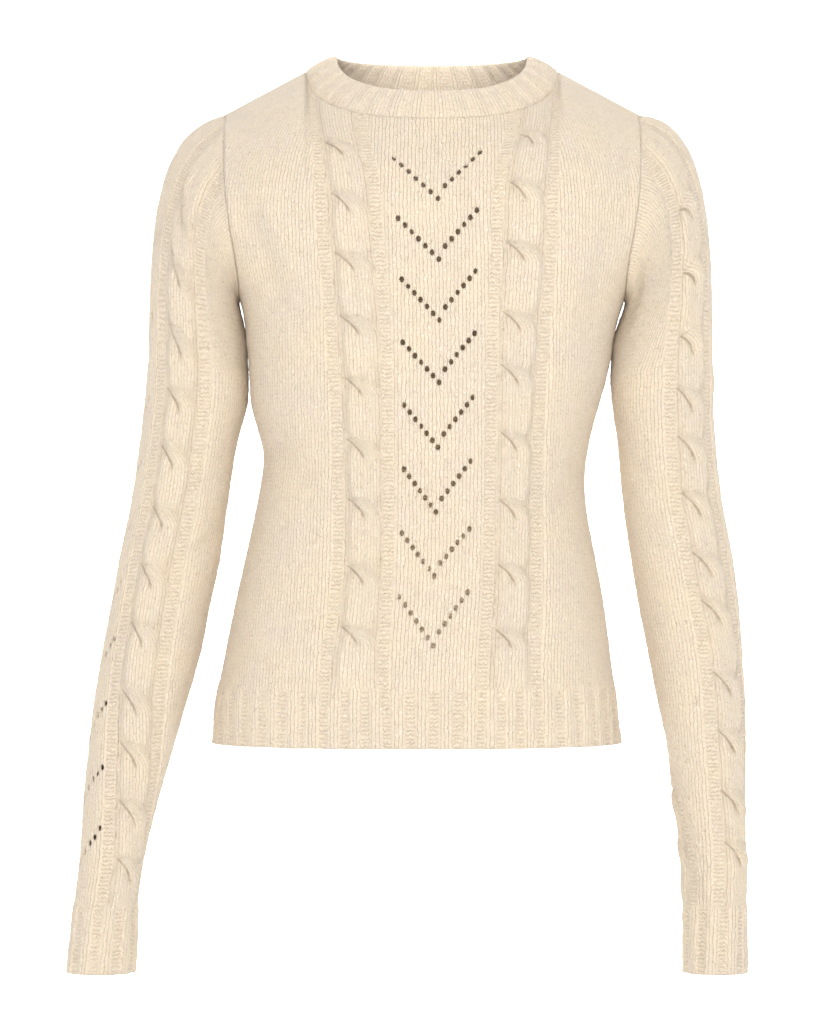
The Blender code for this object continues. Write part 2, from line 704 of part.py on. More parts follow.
def panel_ribs(wall, face, first_row, first_angles):
    """The ribbed hem: two ribbed rows below the first plain row; gives the rows from the bottom up."""
    girth = 2 * float(torso_half_girth(face, HEM_HEIGHT))
    count = round(girth / RIB_PITCH)
    limit = math.pi / 2
    places, raised = rib_columns(-1.0, 1.0, count)
    places = np.concatenate([[-1.0], places, [1.0]])
    raised = np.concatenate([[0.0], raised, [0.0]])
    ribs = []
    for height in RIB_ROWS:
        angles = places * limit
        heights = np.full(len(places), height)
        ribs.append(wall.add(panel_row(face, angles, heights, raised)))
    turned = face > 0
    for low, high in zip(ribs[:-1], ribs[1:]):
        wall.strip(low, places, high, places, turned)
    wall.strip(ribs[-1], places, first_row, first_angles / limit, turned)
    return ribs


RIB_ROWS = (HEM_HEIGHT, HEM_HEIGHT + HEM_RIB * 0.55, HEM_HEIGHT + HEM_RIB)


def torso_half_girth(face, height):
    """Length along the cloth from the middle of the front or back to its side edge."""
    angles = np.linspace(0.0, float(edge_angle(face, height)), 40)
    points = torso_ring(face, angles, np.full(40, height))
    return np.sum(np.linalg.norm(np.diff(points, axis=0), axis=1))


INNER_ROWS = (HEM_HEIGHT, -500, -466, -428, -389, -350, -312, -280, -245, -215, UNDERARM, UNDERARM + 3.5,
              -172, -150, CHEST)
INNER_COLUMNS = 16


def close_panel(wall, face, outer, edges, top, top_x):
    """Add the plain inner surface and the edge walls that close a body panel.

    outer holds the rows from the hem up without the top row, and edges the heights of the ends of those
    above the ribs.
    """
    turned = face > 0
    inner = []
    inner_edges = list(INNER_ROWS)
    shares = np.linspace(-1.0, 1.0, INNER_COLUMNS + 1)
    plain = np.zeros(len(shares))
    for height in INNER_ROWS:
        angles = shares * float(edge_angle(face, height))
        inner.append(wall.add(panel_row(face, angles, plain + height, plain, inner=True)))
    length = yoke_length(face, angles)
    for share in (0.33, 0.66, 0.87):
        raised = CHEST + share * length
        inner.append(wall.add(panel_row(face, angles, raised, plain, inner=True)))
        inner_edges.append(CHEST + share * length[0])
    for low, high in zip(inner[:-1], inner[1:]):
        wall.strip(low, shares, high, shares, not turned)
    inner_points, inner_x = top_row(face, True, 3, NECK_POINTS // 4)
    inner_top = wall.add(inner_points)
    wall.strip(inner[-1], chest_x(face, angles), inner_top, inner_x, not turned)
    wall.strip(inner_top, inner_x, top, top_x, not turned)
    wall.strip(inner[0], shares, outer[0], np.linspace(-1.0, 1.0, len(outer[0])), turned)
    for end, side, flip in ((0, -1, not turned), (-1, 1, turned)):
        outer_chain = [row[end] for row in outer] + [top[end]]
        outer_heights = list(RIB_ROWS) + [pair[end] for pair in edges]
        inner_chain = [row[end] for row in inner] + [inner_top[end]]
        outer_at = [edge_place(face, side, height) for height in outer_heights] + [2.0]
        inner_at = [edge_place(face, side, height) for height in inner_edges] + [2.0]
        wall.strip(inner_chain, inner_at, outer_chain, outer_at, flip)


def build_back():
    """Plain knitting with a ribbed hem; its rows follow the inner surface's rows."""
    wall = Wall()
    heights = [HEM_HEIGHT + HEM_RIB + 7.0] + [row for row in INNER_ROWS if row > HEM_HEIGHT + HEM_RIB + 12.0]
    edges = [(height, height) for height in heights]
    shares = np.linspace(-1.0, 1.0, INNER_COLUMNS + 3)
    plain = np.zeros(len(shares))
    outer = []
    for height in heights:
        angles = shares * float(edge_angle(1, height))
        outer.append(wall.add(panel_row(1, angles, plain + height, plain)))
    length = yoke_length(1, angles)
    for share in (0.22, 0.44, 0.66, 0.85):
        raised = CHEST + share * length
        outer.append(wall.add(panel_row(1, angles, raised, plain)))
        edges.append((raised[0], raised[-1]))
    for low, high in zip(outer[:-1], outer[1:]):
        wall.strip(low, shares, high, shares, True)
    edge_points, edge_x = top_row(1, False, 6, NECK_POINTS // 2)
    top = wall.add(edge_points)
    wall.strip(outer[-1], chest_x(1, angles), top, edge_x, True)
    ribs = panel_ribs(wall, 1, outer[0], shares * math.pi / 2)
    close_panel(wall, 1, ribs + outer, edges, top, edge_x)
    return wall.make("back")


# ---------------------------------------------------------------- sleeves
def sleeve_ring(name, q, height):
    """Point of a level section of the sleeve; q runs from its outer line over the front."""
    table = SLEEVES[name]
    side = SIDES[name]
    angle = 2 * math.pi * q
    half = smooth(table, "half_width", height)
    deep = smooth(table, "half_depth", height)
    reach = ((np.abs(np.cos(angle)) / half) ** 2.2 + (np.abs(np.sin(angle)) / deep) ** 2.2) ** (-1 / 2.2)
    x = smooth(table, "centre", height) + side * reach * np.cos(angle)
    y = -smooth(table, "forward", height) - reach * np.sin(angle)
    return stack(x, y, height)


def cap_controls(name, q):
    """Control points of each sleeve column from its level section up to the armhole."""
    side = SIDES[name]
    point, _, inward = armhole_frame(side, q)
    point = point - inward * SEAM_GAP / 2
    low = (1.0 - np.cos(2 * math.pi * q)) / 2
    cap = CAPS[name]
    drop = cap["drop"] + (UNDERARM_DROP - cap["drop"]) * low
    leave = unit(stack(side * (CAP_LEAVE - UNDERARM_TUCK * low**4), 0.0, -drop))
    lead = (cap["lead"] + (cap["under_lead"] - cap["lead"]) * low)[..., None]
    rise = cap["rise"] + (UNDERARM_RISE - cap["rise"]) * low**0.8
    ring = sleeve_ring(name, q, SLEEVE_JOIN)
    return ring, ring + stack(0.0 * rise, 0.0, rise), point + lead * leave, point


def cap_length(name, q):
    return curve_length(cap_controls(name, q))


def sleeve_point(name, q, height):
    """Point of the sleeve; above its last level section the height is measured along the cloth."""
    q = np.asarray(q, dtype=float)
    height = np.broadcast_to(np.asarray(height, dtype=float), q.shape)
    low = sleeve_ring(name, q, np.minimum(height, SLEEVE_JOIN))
    if height.max() <= SLEEVE_JOIN:
        return low
    controls = cap_controls(name, q)
    share = np.clip((height - SLEEVE_JOIN) / curve_length(controls), 0.0, 1.0)
    return np.where(height[..., None] > SLEEVE_JOIN, bezier(*controls, share), low)


def sleeve_normal(name, q, height):
    a = sleeve_point(name, q - 0.003, height)
    b = sleeve_point(name, q + 0.003, height)
    c = sleeve_point(name, q, height - 0.5)
    d = sleeve_point(name, q, height + 0.5)
    return unit(np.cross(b - a, d - c)) * -SIDES[name]


def half_girth(name, height):
    table = SLEEVES[name]
    half = smooth(table, "half_width", height)
    deep = smooth(table, "half_depth", height)
    return math.pi * math.sqrt((half**2 + deep**2) / 2)


UNDERARM_COLUMNS = 5
INNER_SLEEVE_COLUMNS = 14
INNER_SLEEVE_ROWS = (CUFF_HEIGHT, -672, -640, -600, -555, -510, -466, -420, -380, -340, -300, -266,
                     SLEEVE_JOIN)


def sleeve_lanes(name, height):
    """q of every sleeve column at one height, from the centre line over the front to the back."""
    low = min(height, SLEEVE_JOIN)
    girth = 2 * half_girth(name, low)
    turn = float(smooth(SLEEVES[name], "turn", low))
    near, far = SLEEVE_LADDERS
    squeeze = min(1.0, (girth - 8.0) / (2 * (far + LADDER_HALF + LADDER_STEP)))
    group = [place * squeeze for place in cable_group(near, far)]
    under = np.linspace(group[-1], girth - group[-1], UNDERARM_COLUMNS + 2)[1:-1].tolist()
    behind = [girth - place for place in group[::-1]]
    return (np.array([0.0] + group + under + behind) + turn) / girth


def sleeve_relief(role):
    group = cable_relief(role)
    return np.array([0.0] + group + [0.0] * UNDERARM_COLUMNS + group[::-1])


def pinch(q, share):
    """Narrow the knitting about the outer line towards the armhole."""
    return q - CAP_PINCH * share * np.sin(2 * math.pi * q) / (2 * math.pi)


def sleeve_row(name, q, heights, relief, inner=False):
    points = sleeve_point(name, q, heights)
    normals = sleeve_normal(name, q, heights)
    girth = 2 * half_girth(name, SLEEVE_JOIN)
    level = tuple((q0 * girth, z0, q1 * girth, z1, width, depth)
                  for q0, z0, q1, z1, width, depth in SLEEVE_FOLDS[name])
    relief = relief + fold_depth(level, np.mod(q, 1.0) * girth, points[:, 2])
    depth = relief - (WALL if inner else 0.0)
    return points + normals * depth[:, None]


def armhole_row(name, q, inner):
    point, thick, inward = armhole_frame(SIDES[name], q)
    return point - inward * SEAM_GAP / 2 - thick * (WALL if inner else 0.0)


def ring_strip(wall, name, low, low_q, high, high_q, turned=False):
    """Join two closed rows; the columns of a right sleeve run the other way round."""
    if SIDES[name] > 0:
        low, high = low[::-1], high[::-1]
        low_q, high_q = -low_q[::-1], -high_q[::-1]
    low_at = np.append(low_q, low_q[0] + 1.0)
    high_at = np.append(high_q, high_q[0] + 1.0)
    wall.strip(closed(low), low_at, closed(high), high_at, turned)


def seam_wall(wall, name, inner, inner_q, outer, outer_q):
    """Edge wall at the armhole, made from the underarm up to the shoulder tip as on the body panels."""
    for face in (-1, 1):
        chains = []
        for row, q in ((inner, inner_q), (outer, outer_q)):
            way = q if face < 0 else np.mod(1.0 - q, 1.0)
            keep = np.flatnonzero(way <= 0.5)
            order = keep[np.argsort(-way[keep])]
            chains += [row[order], 2.0 - 2.0 * way[order]]
        wall.strip(*chains, turned=(face * SIDES[name] < 0))


def build_sleeve(name):
    wall = Wall()
    places, raised = rib_columns(0.0, 1.0, CUFF_RIBS)
    ribs = []
    for height in (CUFF_HEIGHT, CUFF_HEIGHT + CUFF_RIB * 0.5, CUFF_HEIGHT + CUFF_RIB):
        ribs.append(wall.add(sleeve_row(name, places, np.full(len(places), height), raised)))
    for low, high in zip(ribs[:-1], ribs[1:]):
        ring_strip(wall, name, low, places, high, places)
    rows = [(CUFF_HEIGHT + CUFF_RIB + 7.0, "plain")]
    for start in SLEEVE_CROSSINGS[name]:
        rows += [(start - 2 * CROSS_HALF, "plain"), (start - CROSS_HALF, "crossing"), (start, "plain")]
    outer = []
    for height, role in rows:
        q = sleeve_lanes(name, height)
        outer.append((wall.add(sleeve_row(name, q, np.full(len(q), height), sleeve_relief(role))), q))
    cap = []
    for start in CAP_CROSSINGS:
        cap += [(start - 2 * CAP_CROSS_HALF, "plain"), (start - CAP_CROSS_HALF, "crossing"), (start, "plain")]
    cap.append((0.87, "plain"))
    base = rows[-1][0]
    lanes = sleeve_lanes(name, base)
    for share, role in cap:
        q = pinch(lanes, share)
        heights = base + share * (SLEEVE_JOIN + cap_length(name, q) - base)
        outer.append((wall.add(sleeve_row(name, q, heights, sleeve_relief(role))), q))
    ring_strip(wall, name, ribs[-1], places, outer[0][0], outer[0][1])
    for (low, _), (high, _) in zip(outer[:-1], outer[1:]):
        index = np.arange(len(low)) / len(low)
        ring_strip(wall, name, low, index, high, index)
    seam_q = np.array(sorted(armhole_places[SIDES[name], False]))
    seam = wall.add(armhole_row(name, seam_q, False))
    ring_strip(wall, name, outer[-1][0], outer[-1][1], seam, seam_q)
    inner_q = np.arange(INNER_SLEEVE_COLUMNS) / INNER_SLEEVE_COLUMNS
    plain = np.zeros(INNER_SLEEVE_COLUMNS)
    inner = []
    for height in INNER_SLEEVE_ROWS:
        inner.append(wall.add(sleeve_row(name, inner_q, plain + height, plain, inner=True)))
    for share in (0.25, 0.5, 0.75):
        q = pinch(inner_q, 0.3 * share)
        heights = SLEEVE_JOIN + share * cap_length(name, q)
        inner.append(wall.add(sleeve_row(name, q, heights, plain, inner=True)))
    for low, high in zip(inner[:-1], inner[1:]):
        ring_strip(wall, name, low, inner_q, high, inner_q, True)
    inner_seam_q = np.array(sorted(armhole_places[SIDES[name], True]))
    inner_seam = wall.add(armhole_row(name, inner_seam_q, True))
    ring_strip(wall, name, inner[-1], inner_q, inner_seam, inner_seam_q, True)
    seam_wall(wall, name, inner_seam, inner_seam_q, seam, seam_q)
    ring_strip(wall, name, inner[0], inner_q, ribs[0], places)
    return wall.make(name)


# ---------------------------------------------------------------- neckband
def band_top(face, angle):
    """Top edge of the neckband."""
    drop = BAND_DROP[face] * np.clip(1.0 - np.abs(np.sin(angle)) ** 2.4, 0.0, 1.0) ** (1 / 2.2)
    return stack(BAND_TOP_X * np.sin(angle), NECK_SIDE[1] + face * BAND_REACH[face] * np.cos(angle), -drop)


def band_row(share, way, raised, inner):
    """One row of the neckband; way runs once round from the middle of the back over the left side."""
    turn = way * 2 * math.pi
    back = np.cos(turn) >= 0
    points = np.zeros((len(way), 3))
    for face, here in ((1, back), (-1, ~back)):
        angle = np.arctan2(-np.sin(turn), face * np.cos(turn))
        seam, thick, down = neck_frame(face, angle)
        seam = seam - down * SEAM_GAP / 2
        top = band_top(face, angle)
        middle = seam + (top - seam) * share + thick * BAND_BULGE * 4 * share * (1 - share)
        offset = raised - (WALL if inner else 0.0)
        points = np.where(here[:, None], middle + thick * offset[:, None], points)
    return points


def build_neckband():
    wall = Wall()
    places, raised = rib_columns(0.0, 1.0, BAND_RIBS)
    outer = [wall.add(band_row(share, places, raised, False)) for share in (0.12, 0.4, 0.7, 0.95)]
    rim = wall.add(band_row(1.0, places, raised * 0.6 - 0.8, False))
    outer.append(rim)
    outer_at = np.append(places, places[0] + 1)
    for low, high in zip(outer[:-1], outer[1:]):
        wall.strip(closed(low), outer_at, closed(high), outer_at)
    seam_places = np.arange(NECK_POINTS) / NECK_POINTS
    seam_at = np.append(seam_places, 1.0)
    seam = wall.add(band_row(0.0, seam_places, np.zeros(NECK_POINTS), False))
    inner_places = seam_places[::2]
    plain = np.zeros(len(inner_places))
    inner = [wall.add(band_row(share, inner_places, plain, True)) for share in (0.0, 0.5, 0.95)]
    inner_at = np.append(inner_places, 1.0)
    for low, high in zip(inner[:-1], inner[1:]):
        wall.strip(closed(low), inner_at, closed(high), inner_at, True)
    wall.strip(closed(seam), seam_at, closed(outer[0]), outer_at)
    wall.strip(closed(inner[0]), inner_at, closed(seam), seam_at)
    wall.strip(closed(inner[-1]), inner_at, closed(rim), outer_at, True)
    return wall.make("neckband")


# ---------------------------------------------------------------- eyelets
def eyelet_places():
    """x and z of every eyelet of the front's chevrons."""
    names = ("height", "centre", "left_span", "right_span", "left_rise", "right_rise")
    places = []
    for height, centre, left_span, right_span, left_rise, right_rise in zip(*(CHEVRONS[n] for n in names)):
        places.append((centre, height))
        for step in range(1, EYELETS_IN_ARM + 1):
            share = step / EYELETS_IN_ARM
            places.append((centre - left_span * share, height + left_rise * share))
            climb = RIGHT_ARM_LIFT + (right_rise - RIGHT_ARM_LIFT) * share
            places.append((centre + right_span * share, height + climb))
    return places


def build_eyelet_cutter():
    """One six-sided bar through the front wall for each eyelet."""
    wall = Wall()
    corners = 6
    turns = (np.arange(corners) + 0.5) * 2 * math.pi / corners
    near_depth = [0.0, -150.0, 0.0]
    far_depth = [0.0, -40.0, 0.0]
    faces = []
    for x, z in eyelet_places():
        ring = stack(x + EYELET_WIDTH / 2 * np.cos(turns), 0.0, z + EYELET_HEIGHT / 2 * np.sin(turns))
        near = wall.add(ring + near_depth)
        far = wall.add(ring + far_depth)
        faces.append(near.tolist())
        faces.append(far.tolist()[::-1])
        for i in range(corners):
            j = (i + 1) % corners
            faces.append([near[j], near[i], far[i], far[j]])
    mesh = bpy.data.meshes.new("eyelet_cutter")
    faces = [[int(i) for i in face] for face in faces]
    mesh.from_pydata((np.array(wall.points) * MM).tolist(), [], faces)
    cutter = bpy.data.objects.new("eyelet_cutter", mesh)
    bpy.context.collection.objects.link(cutter)
    cutter.hide_render = True
    cutter.display_type = "WIRE"
    return cutter


def cut_eyelets(front, cutter):
    modifier = front.modifiers.new("eyelets", "BOOLEAN")
    modifier.operation = "DIFFERENCE"
    modifier.solver = "EXACT"
    modifier.object = cutter


def main():
    for thing in list(bpy.data.objects):
        bpy.data.objects.remove(thing, do_unlink=True)
    front = build_front()
    build_back()
    for name in SLEEVES:
        build_sleeve(name)
    build_neckband()
    cut_eyelets(front, build_eyelet_cutter())


main()
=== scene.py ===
# %% [markdown]
# # A cable knit sweater, filled out with no wearer
#
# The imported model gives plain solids: front, back, two sleeves and a neckband. Here each of them gets its
# knitting: rope cables with purl ladders beside them, chevrons of eyelets, ribs, soft folds and the small
# stitches of the wool. The garment hangs from the shoulders, so nothing here touches the floor.

# %% Load the frame
import math

import bmesh
import bpy
import numpy as np
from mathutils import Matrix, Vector


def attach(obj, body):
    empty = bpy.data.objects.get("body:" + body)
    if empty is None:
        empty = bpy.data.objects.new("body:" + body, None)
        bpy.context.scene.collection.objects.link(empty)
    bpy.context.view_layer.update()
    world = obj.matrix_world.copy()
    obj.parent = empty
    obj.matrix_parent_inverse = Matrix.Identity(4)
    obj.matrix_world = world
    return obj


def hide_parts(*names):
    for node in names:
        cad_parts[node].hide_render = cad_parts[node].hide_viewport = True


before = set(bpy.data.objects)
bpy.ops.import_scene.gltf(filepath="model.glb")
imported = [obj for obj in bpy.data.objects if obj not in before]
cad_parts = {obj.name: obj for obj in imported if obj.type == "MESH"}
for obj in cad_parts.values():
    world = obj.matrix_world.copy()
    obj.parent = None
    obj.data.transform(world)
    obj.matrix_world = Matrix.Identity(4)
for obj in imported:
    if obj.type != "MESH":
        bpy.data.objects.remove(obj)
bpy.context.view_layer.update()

MM = 0.001                  # sizes below are in millimetres, and the scene is in metres

# %% [markdown]
# ## The cut of the sweater
#
# A knitter works from a short list of sizes. These tables give the body and the sleeves as sections at a
# few heights, in millimetres, with the origin in the middle of the neck. The solids use the same sizes, so
# the knitting laid over them keeps their form. A smooth curve through the rows gives every height between.

# %% Sizes and tables
WALL = 2.6                  # thickness of plain knitting
WALE = 2.85                 # width of one stitch
COURSE = 3.1                # height of one stitch
ROUNDNESS, SLEEVE_ROUNDNESS = 2.3, 2.2      # exponents of the rounded sections of body and sleeves
HEM, HEM_RIB = -529.0, 45.0
UNDERARM, CHEST = -190.0, -125.0
ARMHOLE_REACH = {-1: 57.0, 1: 60.0}         # depth of the armhole to the front, -1, and the back, 1
NECK_SIDE = (97.0, 5.0, -12.0)
NECK_REACH = {-1: 81.0, 1: 69.0}
NECK_DROP, NECK_SPREAD = {-1: 43.0, 1: 12.0}, 2.6
SHOULDER_TIP = (161.0, 6.0, -46.0)
YOKE_NECK_X = 94.0          # columns nearer the middle than this end at the neck seam
YOKE_HANDLE = 0.4           # reach of a yoke column's control points, as a share of its length
SLEEVE_JOIN, CUFF, CUFF_RIB = -235.0, -704.0, 52.0
CAP_LEAVE, UNDERARM_TUCK = 0.93, 0.15
CAPS = {
    "sleeve_left": {"lead": 50.0, "under_lead": 6.0, "rise": 120.0, "drop": 0.24},
    "sleeve_right": {"lead": 56.0, "under_lead": 9.0, "rise": 90.0, "drop": 0.06},
}
UNDERARM_RISE, UNDERARM_DROP = 16.0, 0.74
CAP_START = -256.0          # where the rows start to follow the sleeve cap
BAND_TOP_X = 74.0
BAND_REACH = {-1: 67.0, 1: 61.0}
BAND_DROP, BAND_SPREAD = {-1: 33.0, 1: 1.0}, 2.4
SINK_ROUNDNESS = 2.2        # how round the neck seam and the band's edge are at their lowest
SIDES = {"sleeve_left": -1, "sleeve_right": 1}


def read_table(names, *rows):
    """Give each named column as an array in order of rising height, with the slope at each row."""
    values = np.array(sorted(rows), dtype=float)
    table = dict(zip(names.split(), values.T))
    table["slopes"] = {name: np.gradient(column, table["height"]) for name, column in table.items()}
    return table


TORSO = read_table(
    "height centre half_width front_depth back_depth",
    (-529, -11.6, 157.0, 102, 104),
    (-497, -12.0, 154.0, 100, 102),
    (-466, -11.2, 149.0, 98, 99),
    (-420, -9.6, 141.3, 95, 94),
    (-389, -8.9, 135.0, 93, 89),
    (-343, -8.0, 126.2, 91, 83),
    (-312, -5.4, 124.2, 91, 81),
    (-266, -5.0, 134.6, 95, 84),
    (-250, -3.2, 137.4, 96.8, 86),
    (-235, -2.0, 139.5, 98.6, 88.2),
    (-223, -1.8, 140.8, 100, 90),
    (-190, 0.0, 148.0, 103, 94),
    (-180, 0.0, 152.0, 103.3, 94.7),
    (-165, 0.0, 160.0, 103.6, 95.5),
    (-150, 0.0, 167.5, 103.8, 96.2),
    (-140, 0.0, 171.3, 104, 96.6),
    (-125, 0.0, 174.6, 104, 97),
)
FRONT_LANES = read_table(
    "height left_outer left_inner right_inner right_outer",
    (-529, -82.5, -33.8, 35.2, 81.3),
    (-460, -79, -36, 39.5, 78.5),
    (-420, -73, -33.5, 42, 79.5),
    (-300, -71, -32.6, 45, 81),
    (-210, -76, -35, 46, 86),
    (-160, -80, -39, 48.5, 90),
    (-110, -84, -43, 50, 91),
)
# In this table height is the share of the way from the middle, 0, to the armhole, 1.
YOKE_TOP = {
    -1: read_table(
        "height outward back up",
        (0.0, 0.0, 0.45, 0.89),
        (0.6, 0.0, 0.91, 0.41),
        (1.0, 0.15, 0.97, 0.22),
    ),
    1: read_table(
        "height outward back up",
        (0.0, 0.0, 0.33, 0.94),
        (0.6, 0.0, 0.91, 0.41),
        (1.0, 0.15, 0.97, 0.22),
    ),
}
SLEEVES = {
    "sleeve_left": read_table(
        "height centre half_width half_depth forward turn",
        (-704, -254.0, 25.8, 28.5, 14, 5),
        (-681, -252.0, 25.5, 28.5, 13, 5),
        (-651, -250.0, 24.3, 27.5, 12, 5),
        (-620, -246.0, 24.5, 28.0, 11, 6),
        (-574, -239.0, 28.5, 32.0, 9, 7),
        (-527, -230.0, 33.0, 37.0, 7, 7),
        (-497, -224.0, 35.5, 40.0, 5, 6),
        (-466, -217.0, 37.5, 42.0, 4, 5),
        (-420, -208.0, 38.0, 43.0, 2, 4),
        (-389, -202.0, 38.5, 43.5, 1, 4),
        (-343, -194.0, 37.0, 43.0, 0, 4),
        (-296, -187.0, 37.5, 43.5, -2, 4),
        (-266, -181.4, 39.6, 44.5, -2, 4),
        (-250, -180.4, 39.2, 44.8, -2, 4),
        (-235, -180.0, 38.1, 45.0, -2, 4),
    ),
    "sleeve_right": read_table(
        "height centre half_width half_depth forward turn",
        (-704, 217.0, 24.4, 28.0, 14, -28),
        (-681, 217.0, 24.2, 28.0, 13, -29),
        (-651, 217.0, 24.2, 27.5, 12, -30),
        (-620, 217.0, 24.3, 28.0, 11, -30),
        (-574, 214.0, 26.2, 30.5, 9, -27),
        (-527, 210.5, 30.5, 35.0, 7, -20),
        (-497, 207.0, 33.5, 38.0, 5, -17),
        (-466, 203.0, 35.5, 41.0, 4, -14),
        (-420, 197.0, 38.5, 43.0, 2, -8),
        (-389, 192.5, 39.0, 43.5, 1, -6),
        (-343, 185.0, 38.0, 43.0, 0, -6),
        (-296, 180.5, 37.6, 43.5, -2, -7),
        (-266, 177.6, 39.0, 44.5, -2, -7),
        (-250, 177.3, 39.8, 44.8, -2, -7),
        (-235, 177.0, 38.9, 45.0, -2, -7),
    ),
}
print("sections of the body and of each sleeve:", [len(t["height"]) for t in (TORSO, *SLEEVES.values())])

# %% [markdown]
# ## Small helpers
#
# Every surface is worked out for whole arrays at once. A point is a row of three numbers, so a grid of
# points is an array of rows by columns by three.

# %% Curves and vectors
CHORDS = 8                  # straight steps that measure a curve
TINY = 1e-9                 # keeps a length of nothing from being divided by


def smooth(table, name, at):
    """Read a column at any height: a cubic between two rows that keeps the slope at each row."""
    knots, values, slopes = table["height"], table[name], table["slopes"][name]
    at = np.clip(at, knots[0], knots[-1])
    low = np.clip(np.searchsorted(knots, at) - 1, 0, len(knots) - 2)
    gap = knots[low + 1] - knots[low]
    f = (at - knots[low]) / gap
    start = (2 * f**3 - 3 * f**2 + 1) * values[low] + (f**3 - 2 * f**2 + f) * gap * slopes[low]
    end = (3 * f**2 - 2 * f**3) * values[low + 1] + (f**3 - f**2) * gap * slopes[low + 1]
    return start + end


def stack(x, y, z):
    """Points from three arrays that may need stretching to one shape."""
    return np.stack(np.broadcast_arrays(x, y, z), axis=-1).astype(float)


def unit(vectors):
    """Each vector divided by its length."""
    return vectors / np.maximum(np.linalg.norm(vectors, axis=-1, keepdims=True), TINY)


def bezier(p0, p1, p2, p3, f):
    """A cubic curve: the four points weighted by (1-f)^3, 3(1-f)^2 f, 3(1-f) f^2 and f^3."""
    f = np.asarray(f)[..., None]
    g = 1.0 - f
    return g**3 * p0 + 3 * g**2 * f * p1 + 3 * g * f**2 * p2 + f**3 * p3


def curve_length(controls):
    """Length of each curve, as the sum of its chords."""
    shares = np.linspace(0, 1, CHORDS + 1)
    steps = [bezier(*controls, np.full(controls[0].shape[:-1], f)) for f in shares]
    return np.sum(np.linalg.norm(np.diff(steps, axis=0), axis=-1), axis=0)


def ease(low, high, at):
    """0 below low, 1 above high, and 3f^2 - 2f^3 between."""
    f = np.clip((at - low) / (high - low), 0.0, 1.0)
    return f * f * (3 - 2 * f)


LEVELS = np.array([HEM, UNDERARM, CHEST])
print("half widths at hem, underarm and chest:", np.round(smooth(TORSO, "half_width", LEVELS), 1), "mm")

# %% [markdown]
# ## The body
#
# Below the chest line a section of the body is a rounded oval: a superellipse, wider than it is deep. Above
# it every column of stitches follows its own curve up to the neck seam or the shoulder seam. That is how
# the yoke of a real sweater runs: the stitches stay upright and the cloth tips back over the shoulders.

# %% Body surface
LANE_LIMIT = 0.97           # share of the half width that a cable's lane may reach
CHEST_STEP = 3.0            # a column's direction at the chest line is taken over this height


def torso_depth(face, height):
    """Depth of the section towards the front (face -1) or the back (face 1)."""
    return smooth(TORSO, "front_depth" if face < 0 else "back_depth", height)


def armhole_low(face, height):
    """Half width and depth of the armhole edge from the underarm to the chest line: a quarter ellipse."""
    share = np.clip((CHEST - height) / (CHEST - UNDERARM), 0.0, 1.0)
    depth = ARMHOLE_REACH[face] * np.sqrt(1.0 - share**2)
    ahead = (depth / torso_depth(face, height)) ** ROUNDNESS
    return smooth(TORSO, "half_width", height) * (1.0 - ahead) ** (1.0 / ROUNDNESS), depth


def edge_angle(face, height):
    """Angle from the middle of the front or back to the side seam or the armhole edge."""
    edge_x, edge_y = armhole_low(face, height)
    return np.where(np.asarray(height) > UNDERARM, np.arctan2(edge_x, edge_y), math.pi / 2)


def torso_ring(face, angle, height):
    """Point of the oval section: |x / width|^n + |y / depth|^n = 1 in the direction of the angle."""
    width, depth = smooth(TORSO, "half_width", height), torso_depth(face, height)
    across = (np.abs(np.sin(angle)) / width) ** ROUNDNESS
    ahead = (np.abs(np.cos(angle)) / depth) ** ROUNDNESS
    reach = (across + ahead) ** (-1.0 / ROUNDNESS)
    x = smooth(TORSO, "centre", height) + reach * np.sin(angle)
    return stack(x, face * reach * np.cos(angle), height)


def angle_at_x(face, x, height):
    """Angle of the point of a section that has a given x."""
    offset = x - smooth(TORSO, "centre", height)
    share = np.clip(np.abs(offset) / smooth(TORSO, "half_width", height), 0.0, LANE_LIMIT)
    ahead = torso_depth(face, height) * (1.0 - share**ROUNDNESS) ** (1.0 / ROUNDNESS)
    return np.arctan2(offset, ahead)


def sunk(drop, spread, angle):
    """How far an edge sinks: the drop times (1 - |sin|^spread)^(1 / roundness), most in the middle."""
    return drop * np.clip(1.0 - np.abs(np.sin(angle)) ** spread, 0.0, 1.0) ** (1 / SINK_ROUNDNESS)


def neck_seam(face, angle):
    """Neck seam: an oval seen from above that sinks smoothly towards the middle of the front or back."""
    half, depth, height = NECK_SIDE
    y = depth + face * NECK_REACH[face] * np.cos(angle)
    return stack(half * np.sin(angle), y, height - sunk(NECK_DROP[face], NECK_SPREAD, angle))


def neck_angle(x):
    """Angle at which a column of the chest line meets the neck seam; the columns fan out a little."""
    share = np.clip(x / YOKE_NECK_X, -1.0, 1.0)
    return 0.5 * (np.arcsin(share) + share * math.pi / 2)


def top_seam(face, x):
    """Point of the neck seam or the shoulder seam above a given x of the chest line."""
    size, side = np.abs(x), np.sign(x) + (x == 0)
    edge_x, _ = armhole_low(face, CHEST)
    share = np.clip((size - YOKE_NECK_X) / (edge_x - YOKE_NECK_X), 0.0, 1.0)[..., None]
    start = stack(side * NECK_SIDE[0], NECK_SIDE[1], NECK_SIDE[2])
    end = stack(side * SHOULDER_TIP[0], SHOULDER_TIP[1], SHOULDER_TIP[2])
    on_shoulder = start + (end - start) * share
    return np.where(size[..., None] <= YOKE_NECK_X, neck_seam(face, neck_angle(x)), on_shoulder)


